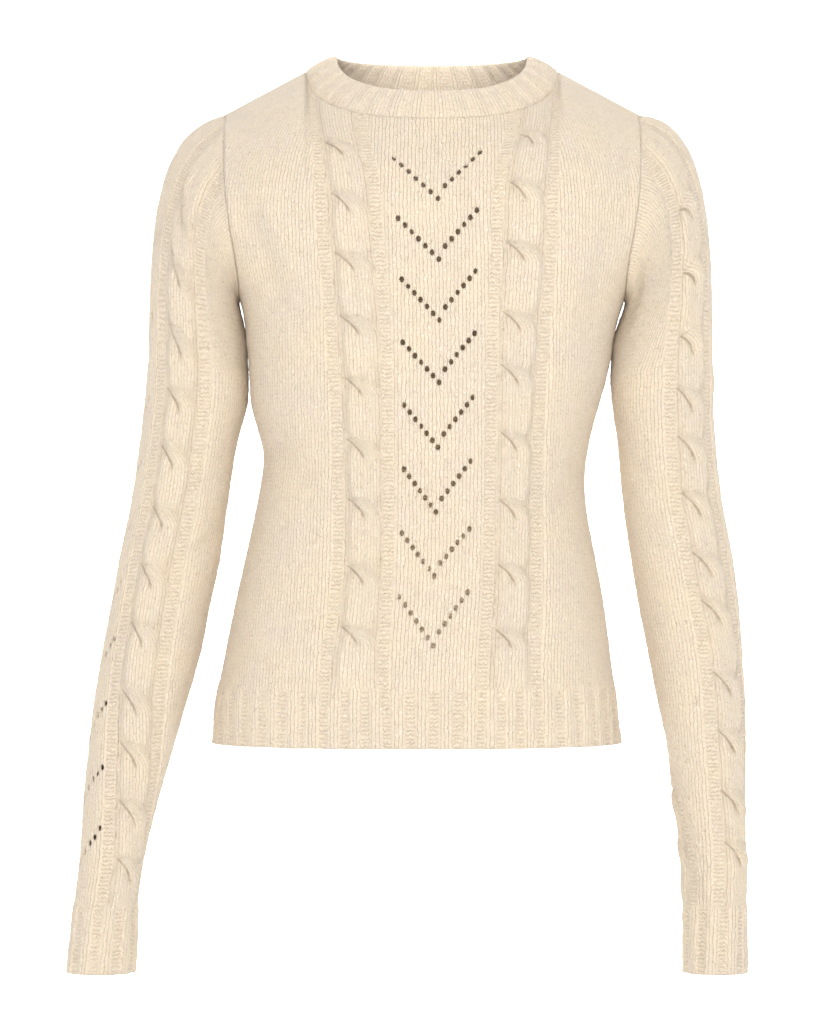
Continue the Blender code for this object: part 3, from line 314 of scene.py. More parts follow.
def yoke_controls(face, angle):
    """The four control points of each yoke column, from the chest line to the top seam."""
    base = torso_ring(face, angle, CHEST)
    edge = edge_angle(face, CHEST)
    share = angle / edge
    below = torso_ring(face, share * edge_angle(face, CHEST - CHEST_STEP), CHEST - CHEST_STEP)
    top = top_seam(face, base[..., 0])
    size = np.clip(np.abs(share), 0.0, 1.0)
    table = YOKE_TOP[face]
    outward = smooth(table, "outward", size) * np.sign(share)
    arrive = unit(stack(outward, -face * smooth(table, "back", size), smooth(table, "up", size)))
    length = np.linalg.norm(top - base, axis=-1, keepdims=True)
    return base, base + YOKE_HANDLE * length * unit(base - below), top - YOKE_HANDLE * length * arrive, top


def torso_point(face, angle, height):
    """Point of the body; above the chest line the height is measured along the cloth."""
    controls = yoke_controls(face, angle)
    share = np.clip((height - CHEST) / curve_length(controls), 0.0, 1.0)
    low = torso_ring(face, angle, np.minimum(height, CHEST))
    return np.where(height[..., None] > CHEST, bezier(*controls, share), low)


print("chest from front to back:", float(torso_depth(-1, CHEST) + torso_depth(1, CHEST)), "mm")

# %% [markdown]
# ## The armholes and the sleeves
#
# The armhole is the edge of the body's surface, so it needs no shape of its own. Below the armpit a sleeve
# is a stack of level ovals; above it the rows turn with the cap until they lie along the armhole.

# %% Armhole and sleeve surface
CHEST_WAY, UNDERARM_WAY = 0.25, 0.5         # of the way round the armhole from the shoulder tip
RISE_POWER, TUCK_POWER = 0.8, 4             # towards the underarm the rise changes early, the tuck late


def under(q):
    """0 at the top of the arm, 1 under it: (1 - cos) / 2 of the way round."""
    return (1.0 - np.cos(2 * math.pi * q)) / 2


def armhole_line(side, q):
    """Point of the armhole; q runs once round from the shoulder tip over the front and the underarm."""
    q = np.mod(q, 1.0)
    points = np.zeros(q.shape + (3,))
    for face, way in ((-1, q), (1, 1.0 - q)):
        turn = np.clip((UNDERARM_WAY - way) / CHEST_WAY * math.pi / 2, 0, math.pi / 2)
        height = CHEST - (CHEST - UNDERARM) * np.cos(turn)
        edge_x, _ = armhole_low(face, height)
        low = stack(side * edge_x, face * ARMHOLE_REACH[face] * np.sin(turn), height)
        angle = np.full(q.shape, side * edge_angle(face, CHEST))
        high = bezier(*yoke_controls(face, angle), np.clip(1.0 - way / CHEST_WAY, 0.0, 1.0))
        here = (q <= UNDERARM_WAY) if face < 0 else (q > UNDERARM_WAY)
        points = np.where(here[..., None], np.where((way < CHEST_WAY)[..., None], high, low), points)
    return points


def sleeve_ring(name, q, height):
    """Point of a level section, a superellipse; q runs from its outer line over the front."""
    table, side, angle = SLEEVES[name], SIDES[name], 2 * math.pi * q
    half, deep = smooth(table, "half_width", height), smooth(table, "half_depth", height)
    across = (np.abs(np.cos(angle)) / half) ** SLEEVE_ROUNDNESS
    ahead = (np.abs(np.sin(angle)) / deep) ** SLEEVE_ROUNDNESS
    reach = (across + ahead) ** (-1 / SLEEVE_ROUNDNESS)
    x = smooth(table, "centre", height) + side * reach * np.cos(angle)
    return stack(x, -smooth(table, "forward", height) - reach * np.sin(angle), height)


def cap_controls(name, q):
    """Control points of each sleeve column from its last level section up to the armhole.

    Each size of the cap goes from its value at the top of the arm to its value under the arm.
    """
    side = SIDES[name]
    point = armhole_line(side, q)
    low = under(q)
    cap = CAPS[name]
    drop = cap["drop"] + (UNDERARM_DROP - cap["drop"]) * low
    leave = unit(stack(side * (CAP_LEAVE - UNDERARM_TUCK * low**TUCK_POWER), 0.0, -drop))
    lead = (cap["lead"] + (cap["under_lead"] - cap["lead"]) * low)[..., None]
    rise = cap["rise"] + (UNDERARM_RISE - cap["rise"]) * low**RISE_POWER
    ring = sleeve_ring(name, q, SLEEVE_JOIN)
    return ring, ring + stack(0.0, 0.0, rise), point + lead * leave, point


def sleeve_point(name, q, height):
    """Point of the sleeve; above its last level section the height is measured along the cloth."""
    controls = cap_controls(name, q)
    share = np.clip((height - SLEEVE_JOIN) / curve_length(controls), 0.0, 1.0)
    low = sleeve_ring(name, q, np.minimum(height, SLEEVE_JOIN))
    return np.where(height[..., None] > SLEEVE_JOIN, bezier(*controls, share), low)


def sleeve_girth(name, height):
    """Length round a level section, as of an ellipse: 2 pi times the root mean square of its halves."""
    half = smooth(SLEEVES[name], "half_width", height)
    deep = smooth(SLEEVES[name], "half_depth", height)
    return 2 * math.pi * np.sqrt((half**2 + deep**2) / 2)


print("sleeves at the wrist:", [round(float(sleeve_girth(name, CUFF))) for name in SLEEVES], "mm round")

# %% [markdown]
# ## The cables
#
# A rope cable is two strands of stitches side by side. Every few centimetres the knitter crosses one strand
# over the other, and knits on. The front strand leans down to the right while the other one dives below it
# and comes up at the left. In numbers: e goes from 0 to 1 along the crossing, the front strand lies between
# e - 1 and e on a scale from -1 to 1 across the cable, and what is left over at each side is the other
# strand. Each strand is round on top, and a sunk ladder of purl stitches sets the cable off on both sides.

# %% Relief of a cable
LADDER_HALF, LADDER_STEP, LADDER_SINK = 4.6, 1.8, -1.1
LADDER_EDGE = LADDER_HALF + LADDER_STEP     # from a ladder's middle to the plain knitting
LADDER_CELLS = 4            # cells of the grid across a ladder
FRONT_CROSS, SLEEVE_CROSS = 17.0, 22.0      # length of a crossing
SWEEP_POWER = 1.8
STRAND_WALES = 6            # stitches across a strand
STRAND_HEIGHT, STRAND_LIFT, STRAND_DIVE = 2.6, 1.7, 0.5
LIFT_POWER, NARROW_POWER = 0.8, 0.6         # how fast a strand lifts, and how much a narrow one sinks
FRONT_CROWN, BACK_CROWN = 0.42, 0.75        # exponents of the strands' rounded tops
FLANK = 0.42                # share of a strand or half a cable that its flank takes up
DENT, RIGHT_DENT = 0.16, 0.26               # least dent beside a strand, and what crossing adds at its right
DENT_DEPTH = 1.25
VALLEY_OPENS, VALLEY_CLOSES = (0.0, 0.1), (0.75, 1.0)    # shares of a crossing
VALLEY_END = 0.12           # the valley fades out this near the cable's edge
WAIST_BELOW, WAIST_DEPTH, WAIST_REACH = 4.0, 0.24, 8.0   # the cable narrows where it crosses
CABLE_EDGE_SHADE = 0.12          # shade where a cable rises from its ladders
CABLE_CALM = -0.40          # purl share of a cable's stitches: below 0 the painted shade in their gaps is lighter


def swept(progress):
    """How far a crossing strand has moved over: 1 - (1 - progress)^power, fast at first."""
    return 1.0 - (1.0 - progress) ** SWEEP_POWER


def crossing_progress(height, starts, length):
    """0 to 1 along a crossing that starts at one of the given heights and runs downwards; 1 elsewhere."""
    starts = np.sort(starts)
    above = np.clip(np.searchsorted(starts, height), 0, len(starts) - 1)
    down = starts[above] - height
    return np.where(down < 0, 1.0, np.clip(down / length, 0.0, 1.0))


def rope(across, height, starts, length):
    """Relief and marks of a rope cable; across runs from -1 at its left edge to 1 at its right.

    The valley at the left of the front strand is deep while that strand crosses, and only a shallow
    dent stays between the strands until the next crossing. Just below each start the cable has a waist,
    where the ladders beside it are wider. The three marks are the painted shade of the cable's edge, the
    distance across from the valley, and how deep the valley is there: the wool paints its dark line of shade
    from these.
    """
    progress = crossing_progress(height, starts, length)
    e = swept(progress)
    over = np.sin(math.pi * progress) ** LIFT_POWER
    left, right = e - 1.0, e
    front = (across >= left) & (across <= right)
    is_left = across < left
    low = np.where(front, left, np.where(is_left, -1.0, right))
    high = np.where(front, right, np.where(is_left, left, 1.0))
    wide = np.clip(high - low, 1e-3, 1.0)
    place = np.clip((across - low) / wide, 0.0, 1.0)
    left_dent = DENT + (1 - DENT) * ease(*VALLEY_OPENS, progress) * (1 - ease(*VALLEY_CLOSES, progress))
    right_dent = DENT + RIGHT_DENT * np.sin(math.pi * progress)
    behind_dent = np.where(is_left, left_dent, right_dent)
    dent = np.where(front, left_dent * (1 - place) + right_dent * place, behind_dent)
    sharp = np.sin(math.pi * place) ** np.where(front, FRONT_CROWN, BACK_CROWN)
    soft = ease(0.0, FLANK, np.minimum(place, 1.0 - place))
    round_top = soft + (sharp - soft) * dent
    behind_crest = STRAND_HEIGHT * wide**NARROW_POWER - STRAND_DIVE * over
    crest = np.where(front, STRAND_HEIGHT + STRAND_LIFT * over, behind_crest)
    relief = crest * (1 - DENT_DEPTH * dent * (1 - round_top))
    inwards = 1.0 - np.abs(across)
    valley = (left_dent - DENT) / (1 - DENT) * ease(0.0, VALLEY_END, inwards)
    to_waist = np.abs(height[..., None] - (starts - WAIST_BELOW)).min(axis=-1)
    edge = ease(0.0, FLANK, inwards - WAIST_DEPTH * np.exp(-((to_waist / WAIST_REACH) ** 2)))
    # marks for painted shade: the edge's shade, the distance from the valley, and the valley's depth
    marks = stack(CABLE_EDGE_SHADE * (1 - edge), across - left, valley)
    return LADDER_SINK + (relief - LADDER_SINK) * edge, marks


def strand_wales(across, height, starts, length):
    """Stitch columns at the corners of a cable's cells; a cell counts along the strand at its middle."""
    starts = np.sort(starts)
    middle = across.mean(axis=-1, keepdims=True)
    level = height.mean(axis=-1, keepdims=True)
    start = starts[np.clip(np.searchsorted(starts, level), 0, len(starts) - 1)]
    past = np.where(start < level, 1.0, 0.0)
    e = np.maximum(past, swept(np.clip((start - height) / length, 0.0, 1.0)))
    e_middle = np.maximum(past, swept(np.clip((start - level) / length, 0.0, 1.0)))
    first = np.where(middle < e_middle - 1.0, -1.0, np.where(middle > e_middle, 0.0, e - 1.0))
    return (across - first) * STRAND_WALES


print("a strand stands", STRAND_HEIGHT, "mm high, and", STRAND_HEIGHT + STRAND_LIFT, "mm where it crosses")

# %% [markdown]
# ## Laying out the stitches
#
# The grid of each piece follows its knitting. Along a row it is cut into bands: side, ladder, cable,
# ladder, middle and so on, and every band has a fixed number of cells, so that the ladders and the strands
# stay on the same columns from hem to neck. The corners of each cell get three numbers that the wool reads:
# how many stitches along, how many rows up, and whether the stitch is knit or purl. The points of a cable
# get three marks more, for the dark lines of painted shade at its edges and between its strands.

# %% Bands of columns
RIB_FLANK = (0.14, 0.30)    # from the middle of a purl rib, where the knit rib's flank starts and ends
FOLD_NARROW, FOLD_SHORT, FOLD_FADE = 2.0, 1.9, 4         # how sharply a fold ends across and along


class Bands:
    """Cells of a row: band numbers, the share of the way across each band, and the knots they join."""

    def __init__(self, *bands):
        self.names = [name for name, _ in bands]
        cells = [count for _, count in bands]
        self.band = np.concatenate([np.full(count, i) for i, count in enumerate(cells)] + [[len(cells) - 1]])
        self.share = np.concatenate([np.arange(count) / count for count in cells] + [[1.0]])

    def spread(self, knots):
        """Value at every column: a straight line between the band's two knots, for each row of knots."""
        return knots[:, self.band] * (1 - self.share) + knots[:, self.band + 1] * self.share

    def inside(self, name):
        """Columns of all bands of one name."""
        return np.array([self.names[i] == name for i in self.band])


def ladder_relief(bands, shape):
    """Relief and purl share of every column outside the cables: plain, sinking into each ladder."""
    relief, purl = np.zeros(len(bands.band)), np.zeros(len(bands.band))
    ladder = bands.inside("ladder")
    relief[ladder], purl[ladder] = LADDER_SINK, 1.0
    falling, rising = bands.inside("step_down"), bands.inside("step_up")
    relief[falling] = LADDER_SINK * ease(0, 1, bands.share[falling])
    relief[rising] = LADDER_SINK * ease(0, 1, 1 - bands.share[rising])
    return np.broadcast_to(relief, shape).copy(), np.broadcast_to(purl, shape).copy()


def folds_at(folds, across, height):
    """Soft troughs and ridges: exp(-2 off^2) across the fold's line, and a flat-topped bell along it."""
    total = np.zeros(np.broadcast(across, height).shape)
    for x0, z0, x1, z1, width, depth in folds:
        along = np.array([x1 - x0, z1 - z0])
        length = np.linalg.norm(along)
        along = along / length
        run = ((across - x0) * along[0] + (height - z0) * along[1]) / length
        off = ((height - z0) * along[0] - (across - x0) * along[1]) / width
        fade = np.exp(-(((run - 0.5) * FOLD_SHORT) ** FOLD_FADE))
        total += depth * np.exp(-(off**2) * FOLD_NARROW) * fade
    return total


def rib_wave(phase):
    """0 on the purl rib at each whole phase, 1 on the knit rib between, with rounded flanks."""
    return ease(*RIB_FLANK, np.abs(phase - np.round(phase)))


def grid_normals(points, closed=False):
    """Outward normals of a grid from its neighbours' differences; columns wrap on a closed ring."""
    if closed:
        across = np.roll(points, -1, axis=1) - np.roll(points, 1, axis=1)
    else:
        across = np.gradient(points, axis=1)
    up = np.gradient(points, axis=0)
    return unit(np.cross(across, up))


def arc_along(points):
    """Distance of each point from the first column, along its row."""
    steps = np.linalg.norm(np.diff(points, axis=1), axis=-1)
    return np.concatenate([np.zeros((len(points), 1)), np.cumsum(steps, axis=1)], axis=1)


print("knit share of a rib:", round(float(rib_wave(np.linspace(0, 1, 101)).mean()), 2))

# %% [markdown]
# ## From grid to mesh
#
# An eyelet is a hole that a knitter makes with a yarn over. In the grid it takes the four cells round one
# point: the point goes, and its eight neighbours move out onto an oval. A Solidify modifier then gives the
# sheet its thickness, walls of the eyelets included, with plain purl on the inside as real knitting has.

# %% Mesh maker
EYELET_HALF = (1.9, 2.4)
# The eight neighbours of a grid point, by row and column, once round.
RING = [(-1, -1), (-1, 0), (-1, 1), (0, 1), (1, 1), (1, 0), (1, -1), (0, -1)]


def punch_eyelets(points, keep, where):
    """Open an oval at each (row, column, centre): move the ring of neighbours and drop the four cells."""
    for row, column, centre in where:
        across = unit(points[row, column + 1] - points[row, column - 1])
        up = unit(points[row + 1, column] - points[row - 1, column])
        for dr, dc in RING:
            size = math.hypot(dr, dc)
            points[row + dr, column + dc] = (
                centre + across * EYELET_HALF[0] * dc / size + up * EYELET_HALF[1] * dr / size
            )
        keep[row - 1:row + 1, column - 1:column + 1] = False
    return points, keep


def build_piece(name, points, knit, painted_shade_marks=None, closed=False, keep=None, thickness=WALL):
    """A mesh from a grid of points in mm, with stitch numbers at its cells' corners.

    painted_shade_marks holds the cable marks of the points, for painted shade, closed joins the last column
    to the first, keep says which cells stay, and a thickness of 0 leaves the surface without a wall.
    """
    rows, columns = points.shape[:2]
    index = np.arange(rows * columns).reshape(rows, columns)
    across = np.roll(index, -1, axis=1) if closed else index[:, 1:]
    left = index if closed else index[:, :-1]
    quads = np.stack([left[:-1], across[:-1], across[1:], left[1:]], axis=-1)
    if keep is not None:
        quads, knit = quads[keep], knit[keep]
    quads = quads.reshape(-1, 4)
    used = np.zeros(rows * columns, dtype=bool)
    used[quads.ravel()] = True
    new_index = np.cumsum(used) - 1
    mesh = bpy.data.meshes.new(name)
    mesh.from_pydata((points.reshape(-1, 3)[used] * MM).tolist(), [], new_index[quads].tolist())
    mesh.attributes.new("knit", "FLOAT_VECTOR", "CORNER")
    mesh.attributes["knit"].data.foreach_set("vector", knit.ravel())
    if painted_shade_marks is not None:
        mesh.attributes.new("painted_shade_marks", "FLOAT_VECTOR", "POINT")
        mesh.attributes["painted_shade_marks"].data.foreach_set("vector", painted_shade_marks.reshape(-1, 3)[used].ravel())
    mesh.polygons.foreach_set("use_smooth", np.ones(len(quads), dtype=bool))
    piece = bpy.data.objects.new(name, mesh)
    bpy.context.collection.objects.link(piece)
    if thickness:
        wall = piece.modifiers.new("wall", "SOLIDIFY")
        wall.thickness = thickness * MM
        wall.offset = -1.0
        wall.use_even_offset = False
        wall.material_offset = 1
        wall.material_offset_rim = 0
    print(name, "has", len(quads), "cells")
    return piece


print("an eyelet is", 2 * EYELET_HALF[0], "by", 2 * EYELET_HALF[1], "mm")

# %% [markdown]
# ## The front's columns
#
# Two rope cables run up the front, with a panel of chevrons between them. The lanes of the cables come
# from a table, and each band of columns lies between two of their knots. Level rows go up to the chest
# line. Above it every column keeps its place and has its own length, so its rows are shares of that.

# %% Columns of a body panel
FRONT_BANDS = Bands(
    ("side", 24),
    ("step_down", 2), ("ladder", LADDER_CELLS), ("cable_left", 32), ("ladder", LADDER_CELLS), ("step_up", 2),
    ("middle", 46),
    ("step_down", 2), ("ladder", LADDER_CELLS), ("cable_right", 32), ("ladder", LADDER_CELLS), ("step_up", 2),
    ("side", 24),
)
BODY_ROWS, YOKE_ROWS = 205, 48
EDGE_COLUMNS = {}           # angle of each panel's columns on the chest line


def front_knots(height):
    """x of the joins between the bands of the front, for each height."""
    level = np.minimum(height, CHEST)
    out, inn = smooth(FRONT_LANES, "left_outer", level), smooth(FRONT_LANES, "left_inner", level)
    near, far = smooth(FRONT_LANES, "right_inner", level), smooth(FRONT_LANES, "right_outer", level)
    return np.stack([
        out - LADDER_EDGE, out - LADDER_HALF, out + LADDER_HALF,
        inn - LADDER_HALF, inn + LADDER_HALF, inn + LADDER_EDGE,
        near - LADDER_EDGE, near - LADDER_HALF, near + LADDER_HALF,
        far - LADDER_HALF, far + LADDER_HALF, far + LADDER_EDGE,
    ], axis=-1)


def panel_grid(face, angles_of):
    """Angles and heights of a body panel: level rows to the chest line, then shares of each column."""
    level = np.linspace(HEM, CHEST, BODY_ROWS)
    angles = angles_of(level)
    heights = np.broadcast_to(level[:, None], angles.shape)
    EDGE_COLUMNS[face] = angles[-1]
    top = np.repeat(angles[-1:], YOKE_ROWS, axis=0)
    share = np.linspace(0, 1, YOKE_ROWS + 1)[1:, None]
    length = curve_length(yoke_controls(face, angles[-1]))
    return np.concatenate([angles, top]), np.concatenate([heights, CHEST + share * length])


def front_angles(level):
    """Angle of every column of the front at each height."""
    knots = angle_at_x(-1, front_knots(level), level[:, None])
    edge = edge_angle(-1, level)[:, None]
    return FRONT_BANDS.spread(np.concatenate([-edge, knots, edge], axis=1))


print("columns of the front:", len(FRONT_BANDS.band))

# %% [markdown]
# ## Ribs, seams and an uneven hand
#
# Hem and cuffs are ribbed: columns of knit stitches that stand proud, with sunk columns of purl between
# them, three by three at the hem. At a seam the two pieces have to meet, so each comes to the same level
# there, and the last rows of both take the same direction through the cloth. Most seams are shallow
# grooves. At the armhole the seam allowance fills the valley between body and sleeve.

# %% Ribs and seams
RIB_PITCH = 17.0            # from one hem rib to the next
RIB_RISE, RIB_SINK = 1.7, 0.7
RIB_ENDS = (-4.0, 3.0)      # from the top of the rib: where it gives way to the knitting above it,
RELIEF_STARTS = (-6.0, 12.0)                # where the relief of that knitting comes up,
MARKS_START = (-3.0, 3.0)   # and where the marks of its cables do
SEAM_REACH, SEAM_GROOVE = 4.5, 0.25
ARMHOLE_FILL, FILL_REACH = 2.6, 7.0
FILL_RISES, FILL_FALLS = (28.0, 65.0), (-14.0, -3.0)     # above the underarm, and at the shoulder tip
UNEVEN = 0.32               # size of the random push of a stitch
NECK_LEVEL, NECK_LEVEL_SIDE = {-1: 0.52, 1: 0.33}, 0.89  # how far the neck seam's cloth faces up
ARMHOLE_TIP, UNDERARM_TIP = 0.35, 0.45      # how far the armhole's cloth faces out, and more below
SHARED_ROWS = 3             # rows at a seam that turn to the shared direction


def add_rib(relief, purl, height, top, phase):
    """Change the rows below top to ribs: knit ribs stand proud, purl ribs are sunk."""
    in_rib = 1 - ease(top + RIB_ENDS[0], top + RIB_ENDS[1], height)
    wave = rib_wave(phase)
    relief = relief * ease(top + RELIEF_STARTS[0], top + RELIEF_STARTS[1], height)
    relief = relief * (1 - in_rib) + in_rib * (RIB_RISE * wave - RIB_SINK)
    return relief, purl * (1 - in_rib) + in_rib * (1 - wave)


def marks_above(top, height):
    """Weight of a cable's marks of painted shade: none in the rib, whole a little above its top."""
    return ease(top + MARKS_START[0], top + MARKS_START[1], height)[..., None]


def roll_in(relief, distance, level=-SEAM_GROOVE, reach=SEAM_REACH):
    """At a seam every piece comes to the same level, so that their edges meet; most are shallow grooves."""
    near = np.exp(-((distance / reach) ** 2))
    return relief * (1 - near) + level * near


def armhole_level(z):
    """Level of the armhole's seam: a groove at both ends, and filled by the seam allowance between them."""
    rises = ease(UNDERARM + FILL_RISES[0], UNDERARM + FILL_RISES[1], z)
    falls = ease(SHOULDER_TIP[2] + FILL_FALLS[0], SHOULDER_TIP[2] + FILL_FALLS[1], z)
    return -SEAM_GROOVE + (SEAM_GROOVE + ARMHOLE_FILL) * (rises * (1 - falls))


def uneven(shape, seed):
    """Hand knitting is never quite even: a random push of each point, averaged with its neighbours."""
    push = np.random.default_rng(seed).standard_normal(shape)
    soft = (push + np.roll(push, 1, 0) + np.roll(push, 1, 1) + np.roll(push, (1, 1), (0, 1))) / 4
    return UNEVEN * soft


def neck_out(face, angle):
    """Direction through the cloth along the neck seam: it faces up more at the sides of the neck."""
    level = NECK_LEVEL[face]
    up = level + (NECK_LEVEL_SIDE - level) * np.sin(angle) ** 2
    flat = np.sqrt(1.0 - up**2)
    return stack(flat * np.sin(angle), face * flat * np.cos(angle), up)


def armhole_out(side, q):
    """Direction through the cloth along the armhole: away from its middle, tipped outwards below."""
    point = armhole_line(side, q)
    radial = unit((point - [0.0, 0.0, 0.5 * (UNDERARM + SHOULDER_TIP[2])]) * [0.0, 1.0, 1.0])
    return unit(radial + stack(side * (ARMHOLE_TIP + UNDERARM_TIP * under(q)), 0.0, 0.0))


def turn_to(rows, first, step, shared):
    """Turn the normals beside a seam to the shared ones: wholly at the seam, less in the rows after it."""
    for depth in range(SHARED_ROWS):
        weight = 1 - depth / SHARED_ROWS
        row = first + step * depth
        rows[row] = unit(rows[row] * (1 - weight) + shared * weight)


def share_seam_normals(face, base, normals, heights):
    """Turn the normals near a panel's seams to the ones that the neighbouring piece uses too."""
    for column, step in ((0, 1), (-1, -1)):
        side = 1 if base[0, column, 0] > 0 else -1
        level = heights[:, column]
        upper = np.clip((level - CHEST) / (level[-1] - CHEST), 0, 1)
        turn = np.arccos(np.clip((CHEST - level) / (CHEST - UNDERARM), 0, 1))
        way = np.where(level > CHEST, CHEST_WAY * (1 - upper), UNDERARM_WAY - turn / (2 * math.pi))
        shared = armhole_out(side, way if face < 0 else 1 - way)
        shared[level <= UNDERARM] = (side, 0.0, 0.0)
        turn_to(normals.transpose(1, 0, 2), column, step, shared)
    x = torso_ring(face, EDGE_COLUMNS[face], CHEST)[:, 0]
    run = np.array(SHOULDER_TIP) - np.array(NECK_SIDE)
    shoulder = unit(stack(-run[2] * np.sign(x), 0.0, run[0]))
    turn_to(normals, -1, -1,
            np.where((np.abs(x) > YOKE_NECK_X)[:, None], shoulder, neck_out(face, neck_angle(x))))
    return normals


print("seams sink", SEAM_GROOVE, "mm, and the armhole's rises", ARMHOLE_FILL, "mm")

# %% [markdown]
# ## Where the eyelets go
#
# Eight chevrons stand one above the other, the widest at the chest. The right arm of each starts a little
# above the left. An eyelet takes the grid point that is nearest to its place, and is centred on the place.

# %% Eyelets of the front
CHEVRONS = (
    # height centre left_span right_span left_rise right_rise
    (-118.1, 3.9, 32.8, 31.3, 30.5, 35.0),
    (-163.5, 4.6, 30.5, 28.3, 30.5, 36.5),
    (-208.9, 5.0, 28.1, 27.0, 30.5, 36.5),
    (-255.1, 4.8, 27.1, 26.5, 29.8, 36.5),
    (-303.5, 4.0, 25.3, 26.1, 31.3, 37.2),
    (-351.9, 2.4, 23.8, 26.1, 32.0, 38.0),
    (-399.6, 1.2, 24.3, 26.4, 32.0, 35.0),
    (-451.7, 0.4, 25.3, 25.7, 36.5, 39.8),
)
EYELETS_IN_ARM = 6
RIGHT_ARM_LIFT = 4.5


def chevron_eyelets():
    """x and z of every eyelet of the front's chevrons."""
    places = []
    for height, centre, left_span, right_span, left_rise, right_rise in CHEVRONS:
        places.append((centre, height))
        for step in range(1, EYELETS_IN_ARM + 1):
            share = step / EYELETS_IN_ARM
            climb = RIGHT_ARM_LIFT + (right_rise - RIGHT_ARM_LIFT) * share
            places.append((centre - left_span * share, height + left_rise * share))
            places.append((centre + right_span * share, height + climb))
    return np.array(places)


def nearest_points(points, band_columns, targets, flat_axes):
    """Row, column and centre on the grid for each target, among the given columns."""
    found = []
    columns = np.flatnonzero(band_columns)
    area = points[:, columns]
    for target in targets:
        gap = np.linalg.norm(area[..., flat_axes] - target, axis=-1)
        row, column = np.unravel_index(np.argmin(gap), gap.shape)
        centre = area[row, column].copy()
        centre[flat_axes] = target
        found.append((row, columns[column], centre))
    return found


print("eyelets in the chevrons:", len(chevron_eyelets()))

# %% [markdown]
# ## Numbers for the stitches
#
# A stitch number counts the columns of stitches along a row. In a cable the stitches run along their
# strand, so there the count starts at the strand's edge and leans with it through every crossing.

# %% Stitch numbers
def cell_corners(grid, closed=False):
    """Values of a grid at the corners of each cell; a closed ring's last cells carry on past the end."""
    if closed:
        grid = np.concatenate([grid, 2 * grid[:, -1:] - grid[:, -2:-1]], axis=1)
    return np.stack([grid[:-1, :-1], grid[:-1, 1:], grid[1:, 1:], grid[1:, :-1]], axis=-1)


def knit_numbers(wales, heights, purl, closed=False, cables=()):
    """The three numbers the wool reads, for the corners of every cell.

    Each cable is given as its columns, the place across at their two sides, the height on the scale of
    its crossings, the crossings and their length, and the height below which the rib has no cable.
    """
    corners = cell_corners(wales, closed)
    for columns, across, phase, starts, length, bottom in cables:
        height = cell_corners(phase)[:, columns]
        own = strand_wales(np.broadcast_to(across, height.shape), height, starts, length)
        rib = height.mean(axis=-1, keepdims=True) < bottom
        corners[:, columns] = np.where(rib, corners[:, columns], own)
    return np.stack([corners, cell_corners(heights, closed) / COURSE, cell_corners(purl, closed)], axis=-1)


def cable_sides(bands, name):
    """Columns of a cable and the place across, from -1 to 1, at the corners of their cells."""
    columns = np.flatnonzero(bands.inside(name))
    groups = np.split(columns, np.flatnonzero(np.diff(columns) > 1) + 1)
    found = []
    for group in groups:
        left = np.arange(len(group)) / len(group) * 2 - 1
        right = left + 2 / len(group)
        found.append((group, np.stack([left, right, right, left], axis=-1)))
    return found


print("stitches in a rope cable:", 2 * STRAND_WALES)

# %% [markdown]
# ## The front
#
# The front puts all of this together: the level of every point is the relief of its band, with the ribs,
# the folds and an uneven hand added and the seams brought to their level. Then the eyelets are opened.

# %% Front panel
# Height at which each crossing of a cable starts.
FRONT_CROSSINGS = {
    "left": np.array([-68.0, -112.6, -156.6, -204.0, -249.8, -296.0, -340.7, -390.7, -436.1]),
    "right": np.array([-58.0, -104.4, -149.1, -201.0, -240.8, -290.8, -341.5, -389.9, -438.4]),
}
FRONT_FOLDS = (
    # start_x start_z end_x end_z width depth
    (-140, -120, -112, -205, 13, -2.6),
    (-128, -118, -104, -170, 12, 2.0),
    (138, -125, 118, -210, 13, -2.2),
    (-122, -300, -92, -330, 14, -1.8),
    (118, -318, 92, -350, 14, -1.8),
)
LADDER_RIBS = (0, 3, 7, 10)                 # ribs of the hem that run up into the four ladders
SIDE_RIBS = 8               # ribs reckoned beyond the outer ladders, more than there is room for


def front_rib_phase(arc):
    """Rib number at each point: whole numbers on the ladders, and ribs of even width beyond them."""
    starts = np.flatnonzero(np.diff(FRONT_BANDS.inside("ladder").astype(int)) == 1) + 1
    ladders = arc[:, starts + LADDER_CELLS // 2]
    beyond = SIDE_RIBS * RIB_PITCH
    places = np.concatenate([ladders[:, :1] - beyond, ladders, ladders[:, -1:] + beyond], axis=1)
    ribs = (-SIDE_RIBS, *LADDER_RIBS, LADDER_RIBS[-1] + SIDE_RIBS)
    return np.array([np.interp(row, knots, ribs) for row, knots in zip(arc, places)])


